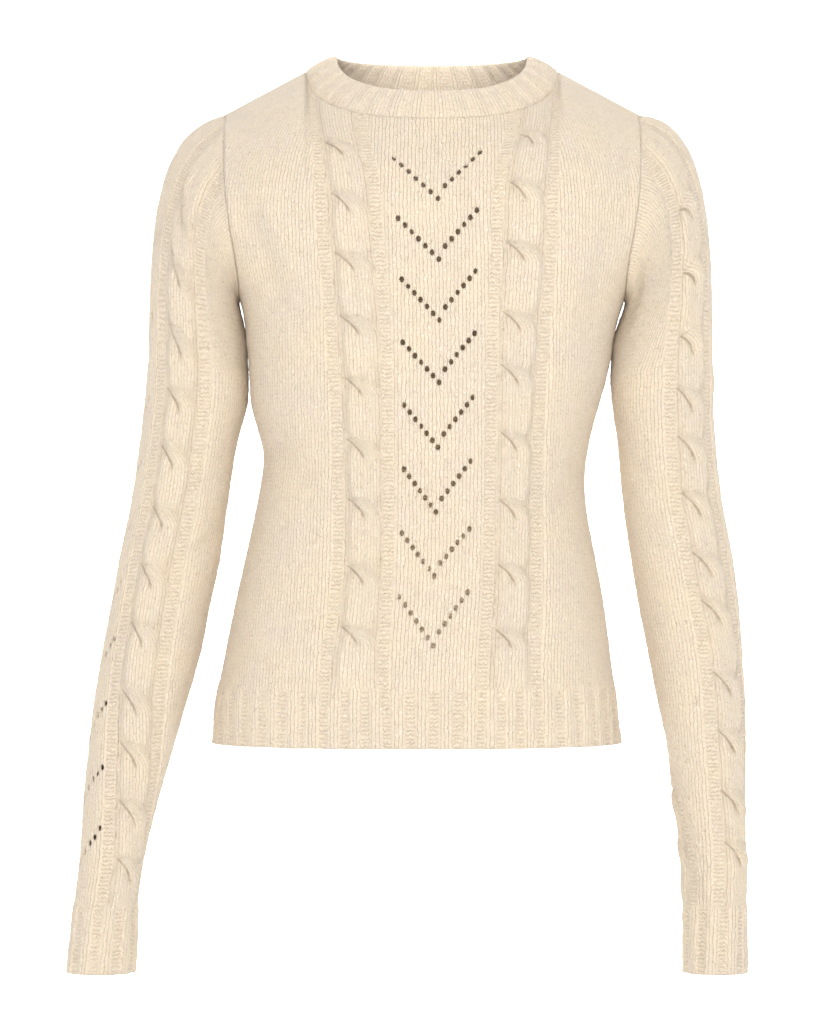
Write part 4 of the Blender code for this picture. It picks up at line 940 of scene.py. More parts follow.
def make_front():
    """Relief of the front by bands, folds and seams, then the eyelets."""
    angles, heights = panel_grid(-1, front_angles)
    base = torso_point(-1, angles, heights)
    normals = share_seam_normals(-1, base, grid_normals(base), heights)
    arc = arc_along(base)
    relief, purl = ladder_relief(FRONT_BANDS, angles.shape)
    middle = arc[:, [len(FRONT_BANDS.band) // 2]]
    wales = (arc - middle) / WALE
    painted_shade_marks, cables = np.zeros(angles.shape + (3,)), []
    for name in ("left", "right"):
        for columns, corners in cable_sides(FRONT_BANDS, "cable_" + name):
            across = np.broadcast_to(corners[:, 0], (len(angles), len(columns)))
            relief[:, columns], painted_shade_marks[:, columns] = rope(
                across, heights[:, columns], FRONT_CROSSINGS[name], FRONT_CROSS)
            purl[:, columns] = CABLE_CALM
            cables.append((columns, corners, heights, FRONT_CROSSINGS[name], FRONT_CROSS, HEM + HEM_RIB))
    span = arc[:, -1:]
    relief, purl = add_rib(relief, purl, heights, HEM + HEM_RIB, front_rib_phase(arc))
    painted_shade_marks *= marks_above(HEM + HEM_RIB, heights)
    relief += folds_at(FRONT_FOLDS, base[..., 0], base[..., 2]) + uneven(relief.shape, 1)
    relief = roll_in(relief, np.minimum(arc, span - arc), armhole_level(base[..., 2]), FILL_REACH)
    relief = roll_in(relief, heights[-1] - heights)
    points = base + normals * relief[..., None]
    keep = np.ones((points.shape[0] - 1, points.shape[1] - 1), dtype=bool)
    holes = nearest_points(points, FRONT_BANDS.inside("middle"), chevron_eyelets(), [0, 2])
    points, keep = punch_eyelets(points, keep, holes)
    print("front:", len(holes), "eyelets")
    knit = knit_numbers(wales, heights, purl, cables=cables)
    return build_piece("front_knit", points, knit, painted_shade_marks, keep=keep)


front_piece = make_front()

# %% [markdown]
# ## The back
#
# Nothing shows of the back but its inside at the neck, so it is plain knitting with the same ribbed hem and
# a few soft folds at the waist and below the shoulder blades.

# %% Back panel
BACK_FOLDS = (
    # start_x start_z end_x end_z width depth
    (132, -130, 108, -208, 13, -2.4),
    (-134, -128, -112, -200, 13, -2.2),
    (70, -318, -10, -334, 14, -1.6),
    (-84, -336, -20, -348, 13, -1.4),
    (30, -352, 96, -340, 13, 1.2),
)
BACK_COLUMNS = 150


def make_back():
    """Plain rows; the columns run from the side seam at +X to that at -X, so that they face outwards."""
    share = np.linspace(1, -1, BACK_COLUMNS)
    angles, heights = panel_grid(1, lambda level: edge_angle(1, level)[:, None] * share)
    base = torso_point(1, angles, heights)
    normals = share_seam_normals(1, base, grid_normals(base), heights)
    arc = arc_along(base)
    span = arc[:, -1:]
    relief, purl = np.zeros(angles.shape), np.zeros(angles.shape)
    ribs = np.round(span[0, 0] / RIB_PITCH)
    relief, purl = add_rib(relief, purl, heights, HEM + HEM_RIB, arc / span * ribs)
    relief += folds_at(BACK_FOLDS, base[..., 0], base[..., 2]) + uneven(relief.shape, 2)
    relief = roll_in(relief, np.minimum(arc, span - arc), armhole_level(base[..., 2]), FILL_REACH)
    relief = roll_in(relief, heights[-1] - heights)
    points = base + normals * relief[..., None]
    wales = (arc - span / 2) / WALE
    return build_piece("back_knit", points, knit_numbers(wales, heights, purl))


back_piece = make_back()

# %% [markdown]
# ## The sleeves
#
# A sleeve is knitted flat and sewn to a tube. Its chevron panel runs down the outer line of the arm, with a
# cable on each side of it, so from the front only one cable and half of the panel are seen. The tube is
# narrow above the wrist, where these bands only just fit.

# %% Columns of a sleeve
CAP_RUN = 202.0             # length of the cap rows on the scale of the crossings
CAP_PINCH = 0.6
SLEEVE_LADDERS = (35.0, 71.0)               # from the outer line to the two ladders beside a cable
SEAM_ROOM = 8.0             # least room between the bands under the arm
SLEEVE_BANDS = Bands(
    ("under", 18),
    ("step_down", 2), ("ladder", LADDER_CELLS), ("cable", 19), ("ladder", LADDER_CELLS), ("step_up", 2),
    ("middle", 40),
    ("step_down", 2), ("ladder", LADDER_CELLS), ("cable", 19), ("ladder", LADDER_CELLS), ("step_up", 2),
    ("under", 18),
)
SLEEVE_ROWS, CAP_ROWS = 194, 56


def band_squeeze(girth):
    """Share of their own width that the bands keep: 1, or less where the tube is too narrow for them."""
    return np.minimum(1.0, (girth - SEAM_ROOM) / (2 * (SLEEVE_LADDERS[1] + LADDER_EDGE)))


def sleeve_shares(name, level):
    """q of every column at each height."""
    girth = sleeve_girth(name, level)[:, None]
    near, far = SLEEVE_LADDERS
    half = np.array([near - LADDER_EDGE, near - LADDER_HALF, near + LADDER_HALF,
                     far - LADDER_HALF, far + LADDER_HALF, far + LADDER_EDGE])
    knots = np.concatenate([-half[::-1], half])[None, :] * band_squeeze(girth)
    knots = np.concatenate([-girth / 2, knots, girth / 2], axis=1)
    return (SLEEVE_BANDS.spread(knots) + smooth(SLEEVES[name], "turn", level)[:, None]) / girth


def sleeve_grid(name):
    """q, height and place on the scale of the crossings: level rows, then rows that follow the cap.

    The cap's columns are drawn together at the top of the arm and under it, and its rows are shares of
    each column's own length.
    """
    level = np.linspace(CUFF, CAP_START, SLEEVE_ROWS)
    q_low = sleeve_shares(name, level)
    share = np.linspace(0, 1, CAP_ROWS + 1)[1:, None]
    q_high = q_low[-1:] - CAP_PINCH * share**2 * np.sin(2 * math.pi * q_low[-1:]) / (2 * math.pi)
    length = curve_length(cap_controls(name, q_high))
    levels = np.broadcast_to(level[:, None], q_low.shape)
    heights = np.concatenate([levels, CAP_START + share * (SLEEVE_JOIN + length - CAP_START)])
    phase = np.concatenate([levels, np.broadcast_to(CAP_START + share * CAP_RUN, q_high.shape)])
    return np.concatenate([q_low, q_high]), heights, phase


for name, table in SLEEVES.items():
    print(name, "bands keep at least", round(band_squeeze(sleeve_girth(name, table["height"])).min(), 4))


# %% [markdown]
# ## The sleeves' eyelets
#
# The chevrons of a sleeve are planned on the cloth laid flat, by the distance round from the outer line
# and the height along the sleeve. Above the elbow they are narrower.

# %% Eyelets of a sleeve
SLEEVE_CHEVRONS = np.arange(-631.0, -150.0, 48.4)
SLEEVE_CHEVRON_SPAN, SLEEVE_CHEVRON_RISE = 27.0, 33.0
ELBOW, UPPER_ARM_STEPS = -400.0, 4   # above the elbow the chevrons are narrower
LAST_EYELET = CAP_START + 0.9 * CAP_RUN     # none are made nearer the armhole than this


def sleeve_eyelets(name, points, q, phase, girth):
    """Grid points of the sleeve's eyelets, worked out on the unrolled cloth: distance round and up."""
    turn = smooth(SLEEVES[name], "turn", np.minimum(phase[:, 0], CAP_START))
    distance = (np.mod(q + 0.5, 1.0) - 0.5) * girth[:, None] - turn[:, None]
    distance = distance / band_squeeze(girth)[:, None]
    found = []
    for height in SLEEVE_CHEVRONS:
        for step in range(-EYELETS_IN_ARM, EYELETS_IN_ARM + 1):
            across = SLEEVE_CHEVRON_SPAN * step / EYELETS_IN_ARM
            lift = RIGHT_ARM_LIFT if step > 0 else 0
            up = height + SLEEVE_CHEVRON_RISE * abs(step) / EYELETS_IN_ARM + lift
            if up > LAST_EYELET or (up > ELBOW and abs(step) > UPPER_ARM_STEPS):
                continue
            gap = np.hypot(distance - across, phase - up)
            row, column = np.unravel_index(np.argmin(gap), gap.shape)
            found.append((row, column, points[row, column].copy()))
    return found


print("rows of chevrons on a sleeve:", len(SLEEVE_CHEVRONS))

# %% [markdown]
# ## Making the sleeves
#
# Columns start under the arm and go round it in opposite ways on the two arms, so those of the right sleeve
# are put in reverse order, and both tubes face outwards. A fold is given by its places round and up, and by
# its width and depth. The cables are a little lower where the sleeve is narrow.

# %% Sleeves
# Height at which each crossing of a cable starts, and in the cap the share of its run.
SLEEVE_CROSSINGS = {
    "sleeve_left": (-614.0, -569.7, -525.7, -485.5, -433.9, -389.8, -345.8, -299.5, -256.0),
    "sleeve_right": (-601.6, -562.1, -515.8, -471.8, -417.2, -380.7, -335.2, -292.7, -256.0),
}
CAP_CROSSINGS = (0.23, 0.46, 0.69)
SLEEVE_FOLDS = {
    # start_q start_z end_q end_z width depth
    "sleeve_left": (
        (0.33, -135, 0.47, -188, 6, -2.5),
        (0.50, -192, 0.50, -226, 24, 1.9),
        (0.22, -150, 0.25, -215, 10, -2.2),
        (0.36, -330, 0.22, -350, 12, -2.0),
        (0.40, -372, 0.24, -396, 12, -2.2),
        (0.62, -350, 0.78, -372, 12, -2.2),
        (0.34, -560, 0.16, -582, 10, -1.8),
    ),
    "sleeve_right": (
        (0.50, -192, 0.50, -228, 24, 2.6),
        (0.30, -130, 0.38, -200, 10, -2.6),
        (0.38, -318, 0.22, -342, 12, -2.2),
        (0.36, -372, 0.20, -402, 12, -2.4),
        (0.62, -356, 0.80, -380, 12, -2.2),
        (0.36, -548, 0.18, -566, 10, -2.0),
    ),
}
CUFF_RIBS = 10
FULL_GIRTH = 190.0          # a sleeve's cables are lower where it is narrower than this


def make_sleeve(name):
    """Relief of the sleeve by bands, folds and its one seam, then the eyelets."""
    side = SIDES[name]
    q, heights, phase = sleeve_grid(name)
    base = sleeve_point(name, q, heights)
    relief, purl = ladder_relief(SLEEVE_BANDS, q.shape)
    girth = sleeve_girth(name, np.where(phase[:, 0] > CAP_START, SLEEVE_JOIN, phase[:, 0]))
    along = arc_along(base)
    wales = (along - along[:, [along.shape[1] // 2]]) / WALE
    starts = np.array(SLEEVE_CROSSINGS[name] + tuple(CAP_START + s * CAP_RUN for s in CAP_CROSSINGS))
    painted_shade_marks, cables = np.zeros(q.shape + (3,)), []
    for columns, corners in cable_sides(SLEEVE_BANDS, "cable"):
        across = np.broadcast_to(corners[:, 0] * -side, (len(q), len(columns)))
        strands, painted_shade_marks[:, columns] = rope(across, phase[:, columns], starts, SLEEVE_CROSS)
        relief[:, columns] = strands * np.minimum(1.0, girth / FULL_GIRTH)[:, None]
        purl[:, columns] = CABLE_CALM
        cables.append((columns, corners * -side, phase, starts, SLEEVE_CROSS, CUFF + CUFF_RIB))
    relief, purl = add_rib(relief, purl, heights, CUFF + CUFF_RIB, along / along[:, -1:] * CUFF_RIBS)
    knit = knit_numbers(wales, heights, purl, cables=cables)
    around = sleeve_girth(name, SLEEVE_JOIN)
    folds = [(q0 * around, z0, q1 * around, z1, width, depth)
             for q0, z0, q1, z1, width, depth in SLEEVE_FOLDS[name]]
    relief += folds_at(folds, np.mod(q, 1.0) * around, base[..., 2]) + uneven(relief.shape, 3 + (side > 0))
    relief = roll_in(relief, heights[-1] - heights, armhole_level(base[-1, :, 2]), FILL_REACH)
    painted_shade_marks *= marks_above(CUFF + CUFF_RIB, heights)
    if side > 0:
        base, relief, q, phase, painted_shade_marks, knit = (
            part[:, ::-1] for part in (base, relief, q, phase, painted_shade_marks, knit))
        knit = knit[:, :, [1, 0, 3, 2]]     # a mirrored cell has its corners the other way round
    base, relief, q, phase, painted_shade_marks = (part[:, :-1] for part in (base, relief, q, phase, painted_shade_marks))
    normals = grid_normals(base, closed=True)
    turn_to(normals, -1, -1, armhole_out(side, q[-1]))
    points = base + normals * relief[..., None]
    keep = np.ones((points.shape[0] - 1, points.shape[1]), dtype=bool)
    holes = sleeve_eyelets(name, points, q, phase, girth)
    points, keep = punch_eyelets(points, keep, holes)
    print(name + ":", len(holes), "eyelets")
    return build_piece(name + "_knit", points, knit, painted_shade_marks, closed=True, keep=keep)


sleeve_pieces = {name: make_sleeve(name) for name in SLEEVES}

# %% [markdown]
# ## The neckband
#
# The band is a strip of rib picked up along the neck and bound off. It stands up at the back and lies
# flatter at the front. Its section is a closed loop: up the outside, round the edge and down the inside.

# %% Neckband
BAND_COLUMNS = 420
BAND_RIBS = 34
BAND_RIB_START = 0.22       # a purl rib lies this share of a rib before the middle of the back
BAND_RIB_RISE, BAND_RIB_SINK = 1.1, 0.4
BAND_PURL = 0.6             # the band is stretched on, so its purl ribs show less
BAND_BULGE = 0.8
BAND_SECTION = (
    # share of the height, depth and ribbed share, up the outside and down the inside
    (-0.04, -1.0, 0.0), (0.0, -0.5, 0.1), (0.1, -0.2, 0.7), (0.22, 0.0, 1.0),
    (0.35, 0.1, 1.0), (0.5, 0.1, 1.0), (0.65, 0.1, 1.0), (0.8, 0.0, 1.0),
    (0.9, -0.2, 0.9), (0.96, -0.6, 0.7), (1.0, -1.1, 0.4), (1.01, -1.6, 0.1),
    (0.98, -2.4, -0.2), (0.93, -3.0, -0.5), (0.8, -3.2, -0.8), (0.6, -3.2, -0.8),
    (0.4, -3.1, -0.8), (0.2, -2.9, -0.7), (0.05, -2.7, -0.4), (-0.05, -2.5, 0.0), (-0.06, -1.6, 0.0),
)
BAND_OUTSIDE = 12           # rows of the section that are the outside
BAND_MEASURED = 4           # row along which the band's stitches are counted
DOUBLES_WITHIN = 1e-6       # metres


def band_top(face, angle):
    """Top edge of the band: an oval that sinks towards the middle of the front."""
    y = NECK_SIDE[1] + face * BAND_REACH[face] * np.cos(angle)
    return stack(BAND_TOP_X * np.sin(angle), y, -sunk(BAND_DROP[face], BAND_SPREAD, angle))


def make_neckband():
    """Section rows by columns round the neck, from the middle of the back over the left side.

    A point is the seam plus its share of the way to the top edge, moved out by the bulge, a parabola
    4 s (1 - s), and by the section's depth with the ribs on it.
    """
    way = np.arange(BAND_COLUMNS) / BAND_COLUMNS
    turn = way * 2 * math.pi
    wave = rib_wave(way * BAND_RIBS + BAND_RIB_START)
    section = np.array(BAND_SECTION)
    share, depth, ribbed = (column[:, None] for column in section.T)
    lift = depth + ribbed * (BAND_RIB_RISE * wave - BAND_RIB_SINK)
    bulge = BAND_BULGE * 4 * share * (1 - share)
    points = np.zeros((len(section), BAND_COLUMNS, 3))
    for face, here in ((1, np.cos(turn) >= 0), (-1, np.cos(turn) < 0)):
        angle = np.arctan2(-np.sin(turn), face * np.cos(turn))
        seam, top, out = neck_seam(face, angle), band_top(face, angle), neck_out(face, angle)
        curve = seam + (top - seam) * share[..., None] + out * (bulge + lift)[..., None]
        points = np.where(here[None, :, None], curve, points)
    run = arc_along(points.transpose(1, 0, 2)).T
    round_neck = arc_along(points[BAND_MEASURED:BAND_MEASURED + 1])[0]
    outside = (np.arange(len(section)) < BAND_OUTSIDE)[:, None]
    purl = np.where(outside, 1 - wave, wave) * BAND_PURL
    points, run, purl = (np.concatenate([part, part[:1]]) for part in (points, run, purl))
    wales = np.broadcast_to(round_neck / WALE, run.shape)
    knit = knit_numbers(wales, run, purl, closed=True)
    piece = build_piece("neckband_knit", points, knit, closed=True, thickness=0)
    loop = bmesh.new()
    loop.from_mesh(piece.data)
    bmesh.ops.remove_doubles(loop, verts=loop.verts, dist=DOUBLES_WITHIN)
    loop.to_mesh(piece.data)
    loop.free()
    return piece


band_piece = make_neckband()

# %% [markdown]
# ## The wool
#
# The yarn is a heathered cream: mostly pale wool with grey-brown and near-white fibres in it, a little
# fuzzy, never glossy. Each knit stitch is a V of two legs, and each column of Vs is parted from the next by
# a groove. A purl stitch is a low bump across. Both are worked out from the stitch numbers, so they follow
# the cables, and feed a bump and a painted shade in the gaps. Painted shade also darkens the cables' edges,
# the valleys between their strands and the sunk purl. The dark line of painted shade between two strands is
# narrower than a cell of the mesh, so it is drawn here from the distance to the valley that the points carry.

# %% Node helper
class Socket:
    """A number in the shader: + - * and ** add Math nodes, and so do the methods."""

    def __init__(self, wool, socket):
        self.wool, self.socket = wool, socket

    def math(self, operation, *others, clamp=False):
        """Result of a Math node on this number and the others."""
        node = self.wool.node("ShaderNodeMath", {"operation": operation, "use_clamp": clamp},
                              **{str(i): v for i, v in enumerate((self, *others))})
        return Socket(self.wool, node.outputs[0])

    def __add__(self, other):
        return self.math("ADD", other)

    def __radd__(self, other):
        return self.math("ADD", other)

    def __sub__(self, other):
        return self.math("SUBTRACT", other)

    def __rsub__(self, other):
        return (self * -1).math("ADD", other)

    def __mul__(self, other):
        return self.math("MULTIPLY", other)

    def __rmul__(self, other):
        return self.math("MULTIPLY", other)

    def __pow__(self, other):
        return self.math("POWER", other)

    def fract(self):
        return self.math("FRACT")

    def abs(self):
        return self.math("ABSOLUTE")

    def sin(self):
        return self.math("SINE")

    def clamp(self):
        return self.math("ADD", 0.0, clamp=True)


class Wool:
    """A material and its nodes."""

    def __init__(self, name):
        self.material = bpy.data.materials.new(name)
        self.material.use_nodes = True
        self.tree = self.material.node_tree
        self.shader = self.tree.nodes["Principled BSDF"]

    def node(self, kind, settings=None, **values):
        """Add a node: settings first, then a value or a link for each named or numbered socket."""
        made = self.tree.nodes.new(kind)
        for key, value in (settings or {}).items():
            setattr(made, key, value)
        for key, value in values.items():
            self.feed(made.inputs[int(key) if key.isdigit() else key.replace("_", " ")], value)
        return made

    def feed(self, target, value):
        """Link a socket or set its value."""
        if isinstance(value, Socket):
            value = value.socket
        if isinstance(value, bpy.types.NodeSocket):
            self.tree.links.new(value, target)
        else:
            target.default_value = value

    def mix(self, factor, first, second):
        """Blend of two colours."""
        made = self.node("ShaderNodeMix", {"data_type": "RGBA"})
        for index, value in ((0, factor), (6, first), (7, second)):
            self.feed(made.inputs[index], value)
        return made.outputs[2]

    def noise(self, place, scale, detail=2.0, rough=0.5):
        """Smooth noise from 0 to 1 with spots about 1 / scale across."""
        made = self.node("ShaderNodeTexNoise", {}, Vector=place, Scale=scale, Detail=detail, Roughness=rough)
        return Socket(self, made.outputs[0])

    def numbers(self, attribute):
        """The three numbers of a mesh attribute."""
        read = self.node("ShaderNodeAttribute", {"attribute_name": attribute})
        parts = self.node("ShaderNodeSeparateXYZ", {}, Vector=read.outputs["Vector"])
        return [Socket(self, part) for part in parts.outputs]


print("shader maths is written with", Socket.__name__)

# %% Knitted wool
CREAM = (0.812, 0.691, 0.543, 1.0)
CREAM_WARM = (0.850, 0.716, 0.532, 1.0)
CREAM_ROSE = (0.812, 0.665, 0.552, 1.0)
# GAP_SHADE is the colour of all painted shade: in the stitches' gaps, at the cables' edges and valleys, and
# on the purl
GAP_SHADE = (0.510, 0.400, 0.285, 1.0)
FLECK_DARK = (0.400, 0.310, 0.220, 1.0)
FLECK_PALE = (0.930, 0.860, 0.740, 1.0)
HEATHER = (
    # scale detail rough start steepness amount colour
    (28.0, 3.0, 0.5, 0.35, 3.0, 1.0, CREAM_WARM),
    (95.0, 3.0, 0.5, 0.52, 5.0, 0.6, CREAM_ROSE),
    (150.0, 4.0, 0.75, 0.50, 4.0, 0.16, FLECK_DARK),
    (620.0, 2.0, 0.5, 0.56, 7.0, 0.8, FLECK_PALE),
    (480.0, 2.0, 0.5, 0.60, 8.0, 0.40, FLECK_DARK),
)
WALE_WANDER, COURSE_WANDER = (190.0, 0.9), (260.0, 1.3)  # noise scale, and how many stitches it moves
STITCH_LEAN = 0.62          # how far a leg of the V climbs, in courses
LEG_RELIEF, HEART_RELIEF = 0.35, 0.35       # what the legs' ends and the middle of the V lose in height
PURL_BOW, BEAD_RELIEF = 0.3, 0.3
FIBRE_NOISE, FIBRE_RELIEF = (1500.0, 3.0, 0.7), 0.5
# Painted shade where a stitch is low and in dots between the legs of neighbouring columns; the inside's is
# lighter
GAP_LEVEL, GAP_STEEPNESS, GAP_SHADE_STRENGTH = 0.58, 2.2, 0.80
DOT_SHADE_STRENGTH = 0.75         # dark dots where the legs of neighbouring columns part
INSIDE_CALM = 0.5           # the inside's purl stitches show softer gaps
PATCH_NOISE, PATCH_START, PATCH_STEEPNESS = (120.0, 3.0, 0.7), 0.30, 2.6
GAP_PATCH, LINE_PATCH = (0.85, 0.15), (0.7, 0.45)        # what varies in patches, and what stays everywhere
# painted shade at the cables' edges, and the painted dark line of shade in the valley between strands
CREASE_SHADE_STRENGTH = 2.6
VALLEY_REACH, VALLEY_SHADE_STRENGTH = 0.10, 1.05
# painted shade on the sunk purl ladders and purl ribs
PURL_SHADE = 0.12
BUMP_STRENGTH, BUMP_DEPTH = 0.85, 0.0009
SURFACE = {
    "Roughness": 0.95,
    "Specular IOR Level": 0.15,
    "Sheen Weight": 0.35,
    "Sheen Roughness": 0.6,
    "Sheen Tint": (1.0, 0.95, 0.88, 1.0),
}


def heather(wool, place):
    """The yarn's colour: cream with patches and flecks of the other tones, each from its own noise."""
    colour = CREAM
    for scale, detail, rough, start, steepness, amount, tone in HEATHER:
        spots = ((wool.noise(place, scale, detail, rough) - start) * steepness).clamp()
        colour = wool.mix(spots * amount, colour, tone)
    return colour


def wool_material(name, all_purl=False):
    """The heathered wool; on the inside of the garment every stitch is a purl.

    A knit stitch is high along its legs, sin of the course less the lean, and falls away as
    1 - off_centre^6 to the groove. A purl stitch is a bead, |sin| of the course, bowed across.
    """
    wool = Wool(name)
    place = wool.node("ShaderNodeTexCoord").outputs["Object"]
    wales, courses, purl = wool.numbers("knit")
    wales = wales + (wool.noise(place, WALE_WANDER[0]) - 0.5) * WALE_WANDER[1]
    courses = courses + (wool.noise(place, COURSE_WANDER[0]) - 0.5) * COURSE_WANDER[1]
    off_centre = (wales.fract() * 2 - 1).abs()
    leg = ((courses - off_centre * STITCH_LEAN).fract() * math.pi).sin()
    groove = 1 - off_centre ** 6
    middle = (off_centre * 4).clamp() * HEART_RELIEF + (1 - HEART_RELIEF)
    knit_height = (leg * LEG_RELIEF + (1 - LEG_RELIEF)) * groove * middle
    bow = (wales * math.pi).sin().abs()
    beads = ((courses + bow * PURL_BOW) * math.pi).sin().abs()
    purl_height = beads * (bow * BEAD_RELIEF + (1 - BEAD_RELIEF))
    # painted shade in dots at the gaps between columns
    dot_shade = off_centre ** 4 * ((courses * (2 * math.pi)).sin() * 0.5 + 0.5) * DOT_SHADE_STRENGTH
    if all_purl:
        height, calm = purl_height, INSIDE_CALM
    else:
        calm = 1 + purl.math("MINIMUM", 0.0)
        height = knit_height + (purl_height - knit_height) * purl.clamp()
        dot_shade = dot_shade * (1 - purl.clamp())
    height = height + (wool.noise(place, *FIBRE_NOISE) - 0.5) * FIBRE_RELIEF
    vary = ((wool.noise(place, *PATCH_NOISE) - PATCH_START) * PATCH_STEEPNESS).clamp()
    # painted shade in the low parts of each stitch and in the dots, lighter in the cables and on the inside
    deep = ((GAP_LEVEL - height) * GAP_STEEPNESS).clamp()
    gap = (deep + dot_shade) * calm * (vary * GAP_PATCH[0] + GAP_PATCH[1])
    colour = wool.mix(gap * GAP_SHADE_STRENGTH, heather(wool, place), GAP_SHADE)
    # painted shade along the cables' edges and a painted dark line of shade in the valley between the strands
    edge, away, valley = wool.numbers("painted_shade_marks")
    away = away * (1 / VALLEY_REACH)
    line = (1 - away * away).clamp() * valley * VALLEY_SHADE_STRENGTH
    shade = (edge * CREASE_SHADE_STRENGTH + line) * (vary * LINE_PATCH[0] + LINE_PATCH[1])
    # painted shade on the purl stitches, where the knitting is sunk
    if not all_purl:
        shade = shade + purl.clamp() * PURL_SHADE
    colour = wool.mix(shade.clamp(), colour, GAP_SHADE)
    bump = wool.node("ShaderNodeBump", {}, Height=height, Strength=BUMP_STRENGTH, Distance=BUMP_DEPTH)
    wool.feed(wool.shader.inputs["Base Color"], colour)
    wool.feed(wool.shader.inputs["Normal"], bump.outputs[0])
    for socket, value in SURFACE.items():
        wool.feed(wool.shader.inputs[socket], value)
    return wool.material


outside_wool = wool_material("cream_wool")
inside_wool = wool_material("cream_wool_inside", all_purl=True)
print("materials:", outside_wool.name, inside_wool.name)

# %% [markdown]
# ## Putting the pieces on the frame
#
# Each piece takes the place of its plain solid, rides on the garment's one body, and prints the area of
# its cloth beside the area cut for it. The flat sizes are those of the knitted pieces laid out before sewing.

# %% Frame and cuts
CUTS = {
    # node: width, length and area of the flat piece, in metres and square metres
    "front": (0.445, 0.545, 0.205),
    "back": (0.445, 0.560, 0.205),
    "sleeve_left": (0.275, 0.660, 0.150),
    "sleeve_right": (0.275, 0.660, 0.150),
    "neckband": (0.520, 0.045, 0.0200),
}
PIECES = {"front": front_piece, "back": back_piece, "neckband": band_piece, **sleeve_pieces}


def surface_area(piece):
    """Area of the piece's cloth: half that of the closed wall."""
    graph = bpy.context.evaluated_depsgraph_get()
    mesh = piece.evaluated_get(graph).to_mesh()
    areas = np.zeros(len(mesh.polygons))
    mesh.polygons.foreach_get("area", areas)
    return areas.sum() / 2


for node, piece in PIECES.items():
    piece.data.materials.append(outside_wool)
    piece.data.materials.append(inside_wool)
    width, length, area = CUTS[node]
    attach(piece, "root")
    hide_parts(node)
    print(node, "cloth", round(surface_area(piece), 4), "m2, cut", area, "m2")


# %% [markdown]
# ## Floor, light and camera
#
# A pale floor that curves up into the backdrop gives an even ground, and behind the garment it glows white.
# The light is soft: a broad lamp in front at the garment's height, a weaker one high at the right, one from
# above and a pale surround. A narrow spot reaches into the neck, which would be too dark without it. The
# camera stands level with the waist.

# %% Stage
FLOOR = -0.80
STAGE_HALF, STAGE_BACK, STAGE_BEND, STAGE_TALL = 6.0, 2.2, 1.2, 6.0
BEND_STEPS = 24
PAPER, PAPER_ROUGHNESS = (0.93, 0.93, 0.93, 1.0), 0.9
GLOW_START, GLOW_FULL = 0.15, 0.40          # depths between which the floor starts to glow


def make_stage():
    """A profile carried sideways: flat floor, quarter circle, upright wall."""
    bend = np.linspace(0, math.pi / 2, BEND_STEPS)
    end = STAGE_BACK + STAGE_BEND
    depth = np.concatenate([[-STAGE_HALF], STAGE_BACK + STAGE_BEND * np.sin(bend), [end]])
    height = np.concatenate([[0.0], STAGE_BEND * (1 - np.cos(bend)), [STAGE_TALL]]) + FLOOR
    points = [(x, y, z) for x in (-STAGE_HALF, STAGE_HALF) for y, z in zip(depth, height)]
    count = len(depth)
    faces = [(i, i + count, i + count + 1, i + 1) for i in range(count - 1)]
    mesh = bpy.data.meshes.new("backdrop")
    mesh.from_pydata(points, [], faces)
    mesh.polygons.foreach_set("use_smooth", np.ones(len(faces), dtype=bool))
    stage = bpy.data.objects.new("backdrop", mesh)
    bpy.context.collection.objects.link(stage)
    paint = bpy.data.materials.new("backdrop_paper")
    paint.use_nodes = True
    shader = paint.node_tree.nodes["Principled BSDF"]
    shader.inputs["Base Color"].default_value = PAPER
    place = paint.node_tree.nodes.new("ShaderNodeTexCoord")
    parts = paint.node_tree.nodes.new("ShaderNodeSeparateXYZ")
    glow = paint.node_tree.nodes.new("ShaderNodeMapRange")
    glow.inputs["From Min"].default_value, glow.inputs["From Max"].default_value = GLOW_START, GLOW_FULL
    paint.node_tree.links.new(place.outputs["Object"], parts.inputs["Vector"])
    paint.node_tree.links.new(parts.outputs["Y"], glow.inputs["Value"])
    paint.node_tree.links.new(glow.outputs["Result"], shader.inputs["Emission Color"])
    shader.inputs["Emission Strength"].default_value = 1.0
    shader.inputs["Roughness"].default_value = PAPER_ROUGHNESS
    mesh.materials.append(paint)


make_stage()
print("floor at", FLOOR, "m")

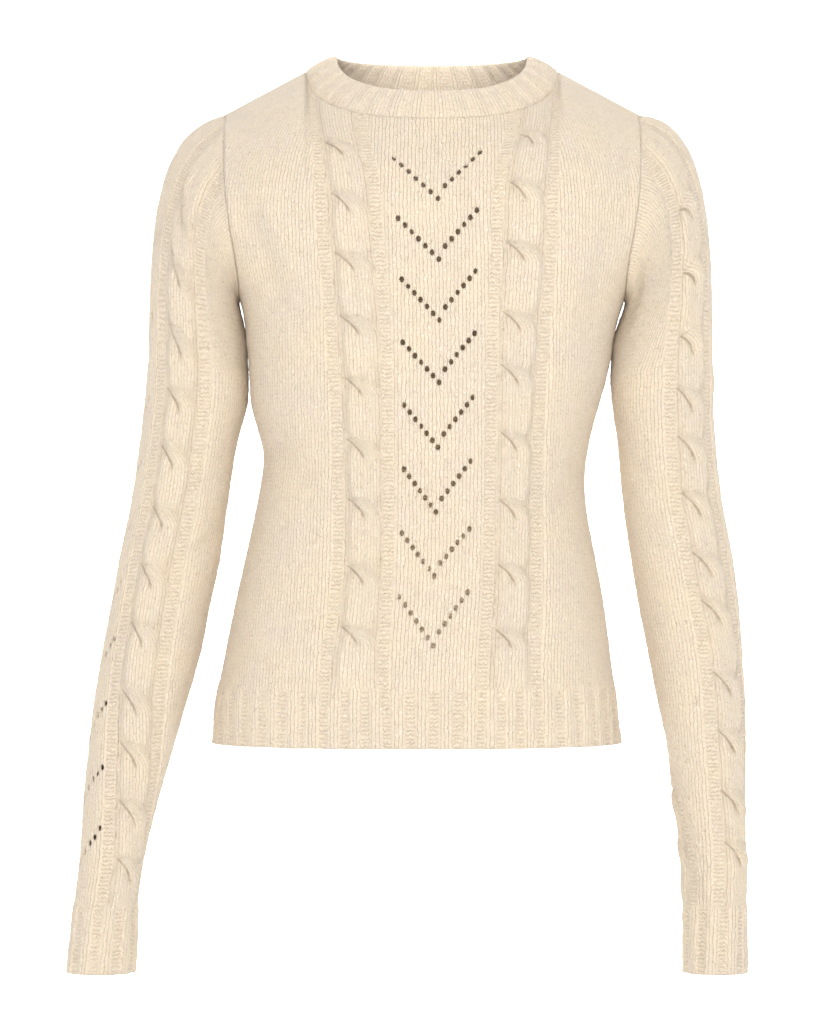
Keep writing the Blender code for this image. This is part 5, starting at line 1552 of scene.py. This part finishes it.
# %% Lamps and camera
LAMPS = (
    # name place aim watts size cone; only a spot has a cone, in degrees
    ("key", (1.5, -2.2, 1.3), (0.0, 0.0, -0.35), 14.0, 1.1, None),
    ("front", (-0.4, -3.3, 0.05), (0.0, 0.0, -0.2), 49.0, 1.5, None),
    ("top", (0.2, 0.4, 2.2), (0.0, 0.1, -0.3), 14.0, 1.6, None),
    ("neck", (0.0, -3.0, 0.12), (0.0, 0.07, 0.073), 205.0, 0.02, 4.1),
)
SPOT_BLEND = 0.25
SURROUND, SURROUND_STRENGTH = (1.0, 1.0, 1.0, 1.0), 0.63
CAMERA_PLACE = (-0.0173, -3.2, -0.3519)
FRAME_HEIGHT = 0.7885       # height of the picture at the origin's depth
SENSOR = 24.0
FAR_END = 50.0


def make_lamp(name, place, aim, power, size, cone):
    """A soft square lamp, or a spot if it has a cone in degrees, that points at a place."""
    light = bpy.data.lights.new(name, "SPOT" if cone else "AREA")
    light.energy = power
    if cone:
        light.spot_size, light.spot_blend, light.shadow_soft_size = math.radians(cone), SPOT_BLEND, size
    else:
        light.size = size
    lamp = bpy.data.objects.new(name, light)
    bpy.context.collection.objects.link(lamp)
    lamp.location = place
    lamp.rotation_euler = Vector(np.subtract(aim, place)).to_track_quat("-Z", "Y").to_euler()


bpy.context.scene.view_settings.view_transform = "Standard"
for row in LAMPS:
    make_lamp(*row)
world = bpy.data.worlds.new("studio")
bpy.context.scene.world = world
world.use_nodes = True
background = world.node_tree.nodes["Background"]
background.inputs["Color"].default_value = SURROUND
background.inputs["Strength"].default_value = SURROUND_STRENGTH

camera_data = bpy.data.cameras.new("camera")
camera_data.sensor_fit = "VERTICAL"
camera_data.sensor_height = SENSOR
camera_data.lens = SENSOR * abs(CAMERA_PLACE[1]) / FRAME_HEIGHT
camera_data.clip_end = FAR_END
camera = bpy.data.objects.new("camera", camera_data)
bpy.context.collection.objects.link(camera)
camera.location = CAMERA_PLACE
camera.rotation_euler = (math.pi / 2, 0.0, 0.0)
bpy.context.scene.camera = camera
print("camera lens", round(camera_data.lens, 1), "mm")
